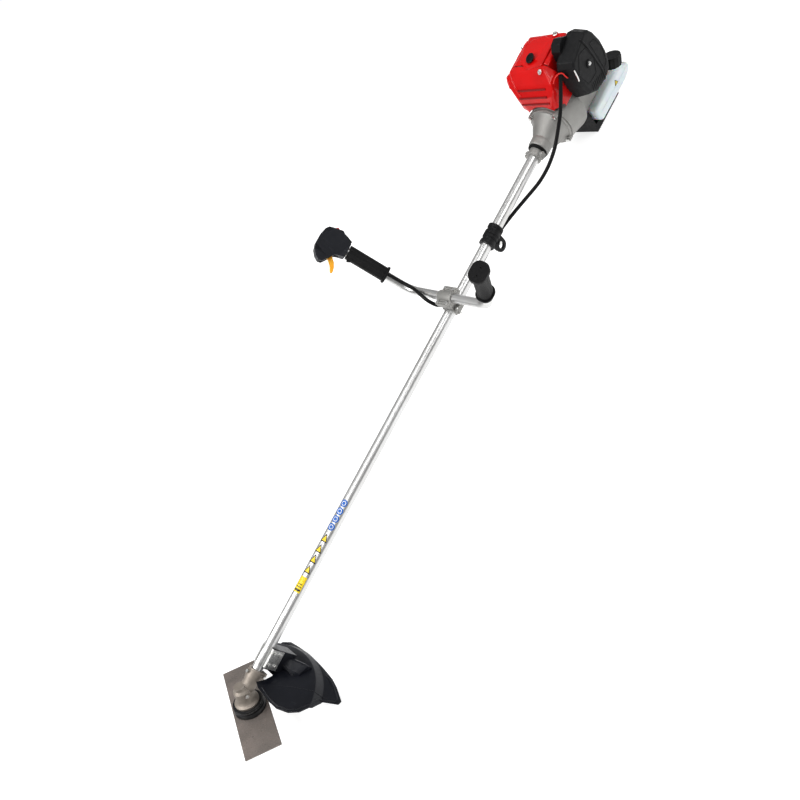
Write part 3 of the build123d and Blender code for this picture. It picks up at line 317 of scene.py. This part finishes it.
def zinc_steel():
    made = Finish("zinc_steel", (0.74, 0.74, 0.73), 0.26, 1.0)
    made.tint(made.ramp(made.noise(60.0, 4.0), 0.4, 0.7), (0.60, 0.60, 0.58))
    made.gloss(made.ramp(made.noise(420.0, 3.0), 0.35, 0.65), 0.40)
    made.bump(made.noise(900.0, 2.0), 0.00003)
    made.worn(0.0006, (0.93, 0.93, 0.92), 200.0, 0.8)
    return made.material


def blade_steel():
    """Rolled plate: warm grey mill scale with a fine speckle, a darker border and a bare ground edge."""
    made = Finish("blade_steel", (0.27, 0.245, 0.225), 0.46, 0.72)
    made.tint(made.ramp(made.noise(14.0, 5.0), 0.38, 0.66), (0.36, 0.315, 0.29))
    made.tint(made.product(made.ramp(made.noise(520.0, 3.0), 0.56, 0.68), 0.55), (0.52, 0.40, 0.36))
    made.tint(made.product(made.ramp(made.noise(340.0, 4.0), 0.60, 0.70), 0.7), (0.12, 0.115, 0.11))
    made.gloss(made.ramp(made.noise(80.0, 5.0), 0.35, 0.7), 0.62)
    made.bump(made.noise(800.0, 3.0), 0.00009)
    made.bump(made.noise(130.0, 4.0), 0.0001)
    made.worn(0.0016, (0.06, 0.06, 0.065), 60.0, 0.9)
    return made.material


def dark_steel():
    made = Finish("dark_steel", (0.022, 0.022, 0.024), 0.34, 0.35)
    made.tint(made.ramp(made.noise(40.0, 5.0), 0.45, 0.75), (0.05, 0.048, 0.045))
    made.gloss(made.ramp(made.noise(300.0, 4.0), 0.35, 0.7), 0.52)
    made.bump(made.noise(700.0, 3.0), 0.00007)
    made.worn(0.0008, (0.33, 0.32, 0.31), 110.0, 0.6)
    return made.material


def moulded(name, colour, light, roughness, grain=0.00005, **sockets):
    """Moulded plastic: a fine spark-eroded grain, faint flow marks and edges polished by handling."""
    made = Finish(name, colour, roughness, 0.0, **sockets)
    made.tint(made.ramp(made.noise(11.0, 4.0), 0.35, 0.72), light)
    made.gloss(made.ramp(made.noise(130.0, 4.0), 0.35, 0.7), min(roughness + 0.16, 0.9))
    made.bump(made.noise(1700.0, 2.0), grain)
    return made


def charcoal_plastic():
    made = moulded("charcoal_plastic", (0.006, 0.0063, 0.007), (0.011, 0.0113, 0.0125), 0.42, 0.00005,
                   Specular_IOR_Level=0.30)
    made.worn(0.0012, (0.07, 0.07, 0.073), 140.0, 0.5)
    return made.material


def blue_black_plastic():
    made = moulded("blue_black_plastic", (0.006, 0.007, 0.011), (0.011, 0.0125, 0.018), 0.40, 0.00004,
                   Specular_IOR_Level=0.30)
    made.worn(0.0012, (0.055, 0.065, 0.09), 140.0, 0.5)
    return made.material


def guard_plastic():
    """Semi-gloss guard moulding with faint grass scuffs."""
    made = moulded("guard_plastic", (0.005, 0.006, 0.010), (0.009, 0.0105, 0.017), 0.30, 0.00002,
                   Specular_IOR_Level=0.42)
    scuffs = made.ramp(made.noise(70.0, 7.0, stretch=(0.3, 1.0, 1.0), roughness=0.7), 0.64, 0.70)
    made.gloss(scuffs, 0.6)
    made.tint(made.product(scuffs, 0.3), (0.040, 0.043, 0.050))
    made.bump(made.noise(24.0, 3.0), 0.0005)
    return made.material


def red_plastic():
    """Glossy red cowl moulding."""
    made = moulded("red_plastic", (0.66, 0.001, 0.001), (0.52, 0.001, 0.001), 0.34, 0.000004,
                   Specular_IOR_Level=0.25, Coat_Weight=0.45, Coat_Roughness=0.03)
    made.bump(made.noise(14.0, 1.0), 0.0002)
    made.worn(0.001, (0.85, 0.10, 0.07), 60.0, 0.45)
    return made.material


def tank_plastic():
    """Milky blow-moulded tank: soft, slightly see-through, faintly uneven."""
    made = Finish("tank_plastic", (0.93, 0.935, 0.95), 0.34, 0.0, Transmission_Weight=0.06,
                  Subsurface_Weight=0.35, Subsurface_Scale=0.01)
    made.tint(made.ramp(made.noise(16.0, 3.0), 0.35, 0.7), (0.88, 0.89, 0.92))
    made.gloss(made.ramp(made.noise(110.0, 4.0), 0.35, 0.7), 0.5)
    made.bump(made.noise(34.0, 3.0), 0.0007)
    made.bump(made.noise(900.0, 2.0), 0.00004)
    return made.material


def grip_rubber():
    made = Finish("grip_rubber", (0.005, 0.005, 0.0055), 0.55, 0.0, Specular_IOR_Level=0.25)
    made.tint(made.ramp(made.noise(30.0, 4.0), 0.4, 0.72), (0.010, 0.010, 0.0105))
    made.bump(made.cells(700.0), 0.00022)
    made.bump(made.noise(1200.0, 2.0), 0.00008)
    made.worn(0.0015, (0.045, 0.045, 0.047), 100.0, 0.6)
    return made.material


def amber_plastic():
    made = moulded("amber_plastic", (0.90, 0.42, 0.012), (0.93, 0.50, 0.02), 0.26, 0.00003,
                   Subsurface_Weight=0.2, Subsurface_Scale=0.003, Coat_Weight=0.3)
    made.worn(0.001, (1.0, 0.68, 0.16), 90.0, 0.6)
    return made.material


def conduit_sleeve():
    """Black plastic conduit with fine rings round it."""
    made = Finish("conduit_sleeve", (0.004, 0.004, 0.0045), 0.36, Specular_IOR_Level=0.25)
    made.tint(made.ramp(made.noise(45.0, 4.0), 0.4, 0.7), (0.008, 0.008, 0.0085))
    made.gloss(made.ramp(made.noise(160.0, 4.0), 0.35, 0.7), 0.55)
    made.bump(made.noise(700.0, 2.0), 0.00006)
    return made.material


def red_rubber():
    made = moulded("red_rubber", (0.75, 0.02, 0.012), (0.66, 0.015, 0.01), 0.34, 0.00003, Coat_Weight=0.2)
    return made.material


MATERIALS = {
    "alloy_tube": drawn_alloy(),
    "cast_alloy": cast_alloy(),
    "blade_steel": blade_steel(),
    "bright_steel": zinc_steel(),
    "dark_steel": dark_steel(),
    "black_plastic": charcoal_plastic(),
    "guard_plastic": guard_plastic(),
    "grip_rubber": grip_rubber(),
    "red_plastic": red_plastic(),
    "tank_plastic": tank_plastic(),
    "amber_plastic": amber_plastic(),
}
OWN_MATERIAL = {
    "gear_case": gear_alloy(),
    "throttle_case_front": blue_black_plastic(),
    "throttle_conduit": conduit_sleeve(),
    "fuel_line": red_rubber(),
}
OWN_MATERIAL["throttle_case_rear"] = OWN_MATERIAL["throttle_case_front"]
# How wide the moulded or cast edges are rounded, by material slot.
EDGE_WIDTH = {
    "cast_alloy": 0.0008, "black_plastic": 0.0008, "guard_plastic": 0.0009, "grip_rubber": 0.001,
    "red_plastic": 0.0011, "tank_plastic": 0.0012, "amber_plastic": 0.0006, "dark_steel": 0.0004,
    "bright_steel": 0.0003, "alloy_tube": 0.0003, "blade_steel": 0.0002,
}
# Pieces inside the casings, and those whose edges stay as they were drawn.
UNSOFTENED = {"pinion", "crown_gear", "pinion_bearings", "spindle_bearings", "shaft_bushes", "piston",
              "throttle_conduit", "fuel_line", "drive_shaft", "shaft_tube", "crankshaft"}


def soften(piece, width):
    """Rounds a piece's sharp edges, which catch the light on a moulding or a casting."""
    bevel = piece.modifiers.new("edges", "BEVEL")
    bevel.width = width
    bevel.segments = 2
    bevel.limit_method = "ANGLE"
    bevel.angle_limit = radians(32)
    bevel.harden_normals = False
    bevel.use_clamp_overlap = True


def dress_nodes():
    """Gives every CAD node the material of its slot."""
    for part in frame["record"]["subparts"]:
        node = nodes[part["node"]]
        slot = part["material_slot"]
        material = OWN_MATERIAL.get(part["node"], MATERIALS[slot])
        if not node.data.materials:
            node.data.materials.append(material)
        for index in range(len(node.material_slots)):
            node.material_slots[index].link = "DATA"
            node.material_slots[index].material = material
        if part["node"] not in UNSOFTENED:
            weld = node.modifiers.new("weld", "WELD")
            weld.merge_threshold = 0.000002
            soften(node, EDGE_WIDTH[slot])


# ------------------------------------------------------------------ mesh tools

def surface_of(*names):
    """The triangles of these CAD nodes, as a tree to lay things on."""
    points = []
    triangles = []
    for name in names:
        start = len(points)
        mesh = nodes[name].data
        points.extend(vertex.co.copy() for vertex in mesh.vertices)
        triangles.extend([start + index for index in face.vertices] for face in mesh.polygons)
    return BVHTree.FromPolygons(points, triangles)


def spaced(path, spacing):
    """Points along a path of straight runs, no further apart than the spacing."""
    points = [path[0]]
    for start, end in zip(path, path[1:]):
        steps = max(1, round((end - start).length / spacing))
        points.extend(start.lerp(end, (step + 1) / steps) for step in range(steps))
    return points


def laid(tree, path, way, spacing=0.002):
    """Points along a path, each moved along the way until it lies on the surface."""
    points = []
    for point in spaced(path, spacing):
        hit = tree.ray_cast(point, way)[0]
        if hit is not None:
            points.append(hit)
    return points


def finish_piece(piece, material, edge=0.0, body="frame"):
    """What every added piece needs: its material, its body and, if asked, rounded edges."""
    piece.data.materials.append(material)
    if edge:
        soften(piece, edge)
    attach(piece, body)
    return piece


def mesh_piece(name, points, faces, material, edge=0.0, smooth=False):
    """A mesh from points and faces, with its normals outwards and its doubled points joined."""
    mesh = bpy.data.meshes.new(name)
    mesh.from_pydata([tuple(point) for point in points], [], faces)
    shape = bmesh.new()
    shape.from_mesh(mesh)
    bmesh.ops.remove_doubles(shape, verts=shape.verts, dist=1e-6)
    bmesh.ops.recalc_face_normals(shape, faces=shape.faces)
    shape.to_mesh(mesh)
    shape.free()
    mesh.polygons.foreach_set("use_smooth", [smooth] * len(mesh.polygons))
    piece = bpy.data.objects.new(name, mesh)
    scene.collection.objects.link(piece)
    return finish_piece(piece, material, edge)


def plate(name, outline, depth, material):
    """A flat outline given depth, a vector."""
    far = [point + depth for point in outline]
    count = len(outline)
    faces = [tuple(range(count)), tuple(range(count, 2 * count))]
    faces += [(k, (k + 1) % count, count + (k + 1) % count, count + k) for k in range(count)]
    return mesh_piece(name, outline + far, faces, material)


def lathe(name, base, axis, profile, material, segments=40):
    """A turned piece: the profile is pairs of radius and height along the axis."""
    axis = axis.normalized()
    across = axis.orthogonal().normalized()
    third = axis.cross(across)
    points = []
    for radius, height in profile:
        for step in range(segments):
            turn = 2 * pi * step / segments
            points.append(base + axis * height + (across * cos(turn) + third * sin(turn)) * radius)
    faces = []
    for ring in range(len(profile) - 1):
        for step in range(segments):
            after = (step + 1) % segments
            faces.append((ring * segments + step, ring * segments + after,
                          (ring + 1) * segments + after, (ring + 1) * segments + step))
    faces.append(tuple(range(segments)))
    faces.append(tuple(range((len(profile) - 1) * segments, len(profile) * segments)))
    piece = mesh_piece(name, points, faces, material, smooth=True)
    sharp = piece.modifiers.new("facets", "EDGE_SPLIT")
    sharp.split_angle = radians(35)
    return piece


def wire(name, points, radius, material):
    """A round bead or wire that follows the points, with closed ends."""
    curve = bpy.data.curves.new(name, "CURVE")
    curve.dimensions = "3D"
    curve.bevel_depth = radius
    curve.bevel_resolution = 3
    curve.use_fill_caps = True
    spline = curve.splines.new("NURBS")
    spline.points.add(len(points) - 1)
    for place, point in zip(spline.points, points):
        place.co = (*point, 1)
    spline.order_u = 3
    spline.use_endpoint_u = True
    spline.resolution_u = 6
    piece = bpy.data.objects.new(name, curve)
    scene.collection.objects.link(piece)
    return finish_piece(piece, material)


def bead(name, skin, path, way, radius, material, spacing=0.003):
    """A wire laid on a surface, if enough of its path meets it."""
    points = laid(skin, path, way, spacing)
    if len(points) > 3:
        wire(name, points, radius, material)


def closed(path):
    """A path that ends where it starts."""
    return path + path[:1]


# ------------------------------------------------------------------ stickers on the tube

STICKER_TURN = radians(22)             # from the top of the tube towards the air cleaner's side
STICKER_HALF = radians(38)
STICKER_LIFT = 0.00012


def wrapped(along, turn, lift):
    """A place on the tube's surface, at an angle from its top towards the operator's left."""
    radius = TUBE_RADIUS + lift
    return at(along, -radius * sin(turn), radius * cos(turn))


def sticker(name, outline, lift, material):
    """A sticker wrapped on the tube: its outline is pairs of place along and turn round the tube."""
    steps = 14
    low_turn = min(turn for _, turn in outline)
    high_turn = max(turn for _, turn in outline)

    def span(turn):
        """Where a line at this turn enters and leaves the outline."""
        cuts = []
        for (one, one_turn), (other, other_turn) in zip(outline, outline[1:] + outline[:1]):
            if (one_turn - turn) * (other_turn - turn) <= 0 and one_turn != other_turn:
                cuts.append(one + (other - one) * (turn - one_turn) / (other_turn - one_turn))
        return min(cuts), max(cuts)

    points = []
    for step in range(steps + 1):
        turn = low_turn + (high_turn - low_turn) * min(max(step / steps, 0.002), 0.998)
        for place in span(turn):
            points.append(wrapped(place, turn, lift))
        for place in span(turn):
            points.append(wrapped(place, turn, -0.0002))
    faces = []
    for step in range(steps):
        low = 4 * step
        high = low + 4
        faces += [(low, low + 1, high + 1, high), (low + 2, high + 2, high + 3, low + 3),
                  (low, high, high + 2, low + 2), (low + 1, low + 3, high + 3, high + 1)]
    faces += [(0, 2, 3, 1), (4 * steps, 4 * steps + 1, 4 * steps + 3, 4 * steps + 2)]
    return mesh_piece(name, points, faces, material)


def printed(name, colour):
    """Printed vinyl: slightly uneven ink under a clear film, with fine scratches."""
    made = Finish(name, colour, 0.32, 0.0, Coat_Weight=0.3, Coat_Roughness=0.15)
    made.tint(made.ramp(made.noise(60.0, 4.0), 0.4, 0.75), tuple(part * 0.86 for part in colour))
    made.gloss(made.ramp(made.noise(500.0, 4.0, stretch=(0.2, 1.0, 1.0)), 0.55, 0.7), 0.5)
    made.bump(made.noise(900.0, 2.0), 0.00002)
    return made.material


PLATE_START, PLATE_END = 0.210, 0.252
TRIANGLE_START, TRIANGLE_PITCH = 0.262, 0.0285
DISC_START, DISC_PITCH = 0.3885, 0.0215
DISC_POINTS = 28


def make_stickers():
    """A yellow plate, four plain triangles and four plain discs along the tube."""
    yellow = printed("yellow_vinyl", (0.90, 0.68, 0.02))
    black = printed("black_vinyl", (0.02, 0.02, 0.022))
    blue = printed("blue_vinyl", (0.03, 0.16, 0.55))
    white = printed("white_vinyl", (0.86, 0.87, 0.88))
    low = STICKER_TURN - STICKER_HALF
    high = STICKER_TURN + STICKER_HALF

    def band(start, end, narrow=0.0):
        return [(start, low + narrow), (end, low + narrow), (end, high - narrow), (start, high - narrow)]

    def disc(middle, radius):
        turns = [2 * pi * step / DISC_POINTS for step in range(DISC_POINTS)]
        return [(middle + radius * cos(turn), STICKER_TURN + radius / TUBE_RADIUS * sin(turn))
                for turn in turns]

    sticker("plate_sticker", band(PLATE_START, PLATE_END), STICKER_LIFT, yellow)
    for name, start, end, narrow in (("plate_sticker_bar", 0.004, 0.009, 0.12),
                                     ("plate_sticker_line", 0.014, 0.0162, 0.2),
                                     ("plate_sticker_base", 0.021, 0.0225, 0.2)):
        sticker(name, band(PLATE_START + start, PLATE_START + end, narrow), STICKER_LIFT * 1.6, black)
    for k in range(4):
        start = TRIANGLE_START + TRIANGLE_PITCH * k
        sticker("triangle_back_%d" % k,
                [(start, low), (start, high), (start + 0.023, STICKER_TURN)], STICKER_LIFT, black)
        sticker("triangle_face_%d" % k,
                [(start + 0.0028, low + 0.2), (start + 0.0028, high - 0.2), (start + 0.0175, STICKER_TURN)],
                STICKER_LIFT * 1.7, yellow)
    for k in range(4):
        for name, radius, lift, material in (("disc_back_%d", 0.0094, 1.0, blue),
                                             ("disc_ring_%d", 0.0060, 1.7, white),
                                             ("disc_face_%d", 0.0042, 2.4, blue)):
            sticker(name % k, disc(DISC_START + DISC_PITCH * k, radius), STICKER_LIFT * lift, material)


# ------------------------------------------------------------------ cowl, air cover, tank and guard

ENGINE_RED = MATERIALS["red_plastic"]
BLACK = MATERIALS["black_plastic"]
BRIGHT = MATERIALS["bright_steel"]
SPINDLE = Vector(joints["blade_spin"]["axis"]).normalized()
BLADE_CENTRE = Vector(joints["blade_spin"]["pos_m"])
REARWARD = SIDE.cross(SPINDLE)
if REARWARD.dot(ALONG) < 0:
    REARWARD = -REARWARD
# A ray starts this far above or beside the tube, well outside the piece that it falls on.
ABOVE = 0.2
ASIDE = 0.3


def screw_head(name, place, axis, radius):
    """A hexagon head with a washer face and a chamfer, standing on a surface."""
    axis = axis.normalized()
    washer = [(0.0005, 0), (radius * 1.5, 0), (radius * 1.5, 0.0011), (radius * 1.4, 0.0014),
              (0.0005, 0.0014)]
    head = [(0.0004, 0), (radius, 0), (radius, radius * 0.62), (radius * 0.88, radius * 0.78),
            (radius * 0.40, radius * 0.78), (radius * 0.36, radius * 0.45), (0.0004, radius * 0.45)]
    lathe(name + "_washer", place - axis * 0.0006, axis, washer, BRIGHT)
    lathe(name + "_head", place + axis * 0.0008, axis, head, BRIGHT, segments=6)


def ringed(middle, radius, start, end, count=24):
    """Places along and to the side on an arc, in metres, with turns in degrees."""
    turns = [radians(start + (end - start) * step / count) for step in range(count + 1)]
    return [(middle[0] + radius * cos(turn), middle[1] + radius * sin(turn)) for turn in turns]


SHELL_VOXEL = 0.0011
SHELL_PASSES = 30


def round_shell(name):
    """A moulded shell in place of its CAD node: the same walls, with soft rounded corners."""
    piece = bpy.data.objects.new(name + "_moulding", nodes[name].data.copy())
    scene.collection.objects.link(piece)
    remesh = piece.modifiers.new("remesh", "REMESH")
    remesh.mode = "VOXEL"
    remesh.voxel_size = SHELL_VOXEL
    smooth = piece.modifiers.new("smooth", "SMOOTH")
    smooth.factor = 0.5
    smooth.iterations = SHELL_PASSES
    bpy.context.view_layer.update()
    evaluated = piece.evaluated_get(bpy.context.evaluated_depsgraph_get())
    mesh = bpy.data.meshes.new_from_object(evaluated)
    piece.modifiers.clear()
    piece.data = mesh
    mesh.polygons.foreach_set("use_smooth", [True] * len(mesh.polygons))
    mesh.materials.clear()
    finish_piece(piece, ENGINE_RED)
    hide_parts(name)


# Places on the cowl, along the tube and to the side of it.
COWL_HOLE = (1.570, 0.013)
COWL_PANEL = [(1.556, -0.026), (1.626, -0.026), (1.630, 0.004), (1.622, 0.040), (1.598, 0.052),
              (1.564, 0.044), (1.550, 0.016)]
COWL_SCREWS = [(1.638, -0.016), (1.545, -0.024), (1.612, 0.066)]
COWL_ARCS = [(0.062, 35, 150), (0.074, 40, 140), (0.086, 45, 130)]
# Heights of the front grooves. These are drawn as dark red beads, which is painted shade.
COWL_GROOVES = [0.070, 0.086, 0.102]
PANEL_RISE = 0.0055
HOLE_RIM = [(0.0062, 0), (0.0110, 0), (0.0110, 0.0016), (0.0098, 0.0024), (0.0078, 0.0022),
            (0.0070, 0.0010), (0.0062, 0.0010)]
HOLE_PLUG = [(0.0004, 0), (0.0064, 0), (0.0064, 0.0016), (0.0052, 0.0020), (0.0004, 0.0013)]
BOSS = [(0.0004, 0), (0.0078, 0), (0.0070, 0.0050), (0.0060, 0.0056), (0.0004, 0.0056)]


def cowl_panel(skin):
    """The raised panel on top of the cowl, with its edge drawn in towards the top."""
    rim = laid(skin, [at(along, side, ABOVE) for along, side in COWL_PANEL], -UP, 1.0)
    middle = sum(rim, Vector()) / len(rim)
    foot = [point - UP * 0.004 for point in rim]
    shoulder = [point + UP * 0.0035 for point in rim]
    crown = [middle + (point - middle) * 0.93 + UP * PANEL_RISE for point in rim]
    count = len(rim)
    faces = [tuple(range(count)), tuple(range(2 * count, 3 * count))]
    for level in (0, count):
        faces += [(level + k, level + (k + 1) % count, level + count + (k + 1) % count, level + count + k)
                  for k in range(count)]
    mesh_piece("cowl_panel", foot + shoulder + crown, faces, ENGINE_RED, edge=0.0012)


def dress_cowl():
    """The cowl's rounded shells, raised panel, arcs, hole and screws, with its cooling slots drawn as black beads
    and its front grooves as dark red beads: both are painted shade.
    """
    skin = surface_of("fan_cowl", "top_cover")
    round_shell("fan_cowl")
    round_shell("top_cover")
    # A darker red for the front grooves: painted shade, standing in for the shadow inside them.
    groove_shade_red = moulded("groove_shade_red", (0.28, 0.002, 0.002), (0.20, 0.001, 0.001), 0.4, 0.00001).material
    cowl_panel(skin)
    for number, (radius, start, end) in enumerate(COWL_ARCS):
        path = [at(along, side, ABOVE) for along, side in ringed(COWL_HOLE, radius, start, end)]
        bead("cowl_arc_%d" % number, skin, path, -UP, 0.0022, ENGINE_RED)
    place, normal = skin.ray_cast(at(*COWL_HOLE, ABOVE), -UP)[:2]
    place = place + UP * 0.0058
    lathe("cowl_hole_rim", place - normal * 0.001, normal, HOLE_RIM, BLACK)
    lathe("cowl_hole_plug", place - normal * 0.0012, normal, HOLE_PLUG, MATERIALS["grip_rubber"])
    for number, (along, side) in enumerate(COWL_SCREWS):
        place, normal = skin.ray_cast(at(along, side, ABOVE), -UP)[:2]
        lathe("cowl_boss_%d" % number, place - normal * 0.003, normal, BOSS, ENGINE_RED)
        screw_head("cowl_screw_%d" % number, place + normal * 0.0028, normal, 0.0038)
    # The cooling slots are black beads laid on the cowl's side: painted shade, standing in for the dark inside
    # each slot.
    for number in range(6):
        height = 0.062 + 0.0085 * number
        bead("cowl_slot_shade_%d" % number, skin, [at(1.575, ASIDE, height), at(1.622, ASIDE, height)], -SIDE,
             0.0016, BLACK, 0.004)
    # The front grooves are dark red beads laid on the cowl: painted shade in place of the grooves' own shadow.
    for number, height in enumerate(COWL_GROOVES):
        bead("cowl_groove_shade_%d" % number, skin, [at(1.40, -0.036, height), at(1.40, 0.050, height)], ALONG,
             0.0024, groove_shade_red, 0.004)


# Places on the air cover's face, along the tube and up from it.
AIR_FOLD = [(1.612, 0.138), (1.617, 0.116), (1.621, 0.080), (1.624, 0.040), (1.620, 0.014)]
AIR_CLIP = [(1.559, 0.111), (1.557, 0.081)]
AIR_DIAMOND = [(1.562, 0.092), (1.588, 0.122), (1.612, 0.116), (1.621, 0.082), (1.606, 0.050),
               (1.574, 0.052)]
AIR_DIAMOND_REAR = [(1.628, 0.112), (1.646, 0.104), (1.654, 0.074), (1.646, 0.040), (1.631, 0.034)]
AIR_KNOB = (1.600, 0.084)
KNOB = [(0.0004, 0), (0.0092, 0), (0.0088, 0.0032), (0.0080, 0.0040), (0.0050, 0.0042), (0.0046, 0.0030),
        (0.0004, 0.0030)]


def dress_air_cover():
    """The air cover's fold, clip, embossed lines, teeth and knob."""
    skin = surface_of("air_cover")

    def line(name, places, radius, material=BLACK):
        bead(name, skin, [at(along, -ASIDE, up) for along, up in places], SIDE, radius, material)

    line("air_fold", AIR_FOLD, 0.0022)
    line("air_clip", AIR_CLIP, 0.0019, BRIGHT)
    line("air_diamond", closed(AIR_DIAMOND), 0.0010)
    line("air_diamond_rear", closed(AIR_DIAMOND_REAR), 0.0010)
    for number in range(9):
        along = 1.576 + 0.0062 * number
        low = 0.030 - 0.0012 * number
        line("air_tooth_%d" % number, [(along, low), (along + 0.004, low + 0.014)], 0.0011)
    place, normal = skin.ray_cast(at(AIR_KNOB[0], -ASIDE, AIR_KNOB[1]), SIDE)[:2]
    lathe("air_knob", place - normal * 0.001, normal, KNOB, BLACK)
    screw_head("air_screw", place + normal * 0.0020, normal, 0.0030)


SEAM_HEIGHT = -0.071
TANK_MARK = (1.682, -0.066)


def dress_tank():
    """The tank's mould seam and its small triangle."""
    skin = surface_of("fuel_tank")
    sides = [([at(1.60, -ASIDE, SEAM_HEIGHT), at(1.735, -ASIDE, SEAM_HEIGHT)], SIDE),
             ([at(1.90, -0.050, SEAM_HEIGHT), at(1.90, 0.050, SEAM_HEIGHT)], -ALONG),
             ([at(1.735, ASIDE, SEAM_HEIGHT), at(1.60, ASIDE, SEAM_HEIGHT)], -SIDE),
             ([at(1.40, 0.050, SEAM_HEIGHT), at(1.40, -0.050, SEAM_HEIGHT)], ALONG)]
    for number, (path, way) in enumerate(sides):
        bead("tank_seam_%d" % number, skin, path, way, 0.0009, MATERIALS["tank_plastic"],
             0.005)
    place = skin.ray_cast(at(TANK_MARK[0], -ASIDE, TANK_MARK[1]), SIDE)[0]
    yellow = printed("tank_yellow", (0.90, 0.68, 0.02))
    black = printed("tank_black", (0.02, 0.02, 0.022))
    for name, size, lift, material in (("tank_mark_back", 0.0085, 0.0, black),
                                       ("tank_mark_face", 0.0058, 0.0003, yellow)):
        corners = [place + (ALONG * cos(radians(turn)) + UP * sin(radians(turn))) * size - SIDE * lift
                   for turn in (90, 210, 330)]
        plate(name, corners, -SIDE * 0.0004, material)


# Places on the guard in millimetres, rearward of the spindle and to the side.
GUARD_RIM = [(38, -40), (34, -79), (36, -104), (47, -129), (65, -144), (93, -150), (121, -144),
             (146, -171), (154, -168), (169, -134), (184, -84), (196, -14), (194, 42), (181, 80), (167, 97)]
GUARD_CREASE = [(60, -50), (90, -80), (118, -118), (136, -150)]
HOUSING_STEPS = 12


def over(rear, side, height):
    """A place in the guard's frame, in millimetres: rearward, to the side and up the spindle."""
    return BLADE_CENTRE + REARWARD * (rear / 1000) + SIDE * (side / 1000) + SPINDLE * (height / 1000)


def guard_line(name, skin, places, radius):
    """A bead on the guard, left out where it would come too near the ground."""
    path = [over(rear, side, 200) for rear, side in places]
    points = [point for point in laid(skin, path, -SPINDLE, 0.004)
              if point.z > cad_box[0].z + 2 * radius]
    wire(name, points, radius, MATERIALS["guard_plastic"])


def guard_housing():
    """The housing that carries the strap: a rounded ridge that runs out onto the sheet."""
    rows = []
    for step in range(HOUSING_STEPS + 1):
        share = step / HOUSING_STEPS
        side = -16 - 48 * share
        middle = 130 + 20 * share
        top = 73 - 15 * share - 5 * max(0.0, share - 0.85) / 0.15
        front = 108 + 14 * share * share
        rows.append([over(front, side, 44), over(front + 1, side, top - 9), over(front + 5, side, top - 3),
                     over(middle - 5, side, top - 0.6), over(middle, side, top),
                     over(middle + 5, side, top - 1.2), over(middle + 9, side, top - 5),
                     over(middle + 13, side, 36)])
    width = len(rows[0])
    last = HOUSING_STEPS * width
    points = [point for row in rows for point in row]
    faces = [(row + k, row + k + 1, row + width + k + 1, row + width + k)
             for row in range(0, last, width) for k in range(width - 1)]
    faces += [tuple(range(width)), tuple(range(last, last + width))]
    near = list(range(0, last + 1, width))
    faces.append(tuple(near + [row + width - 1 for row in reversed(near)]))
    mesh_piece("guard_housing", points, faces, MATERIALS["guard_plastic"], edge=0.0012)


def dress_guard():
    """The guard's rim, crease and housing."""
    skin = surface_of("blade_guard")
    guard_line("guard_rim", skin, GUARD_RIM, 0.0022)
    guard_line("guard_crease", skin, GUARD_CREASE, 0.0009)
    guard_housing()


make_camera()
make_studio()
dress_nodes()
make_stickers()
dress_cowl()
dress_air_cover()
dress_tank()
dress_guard()
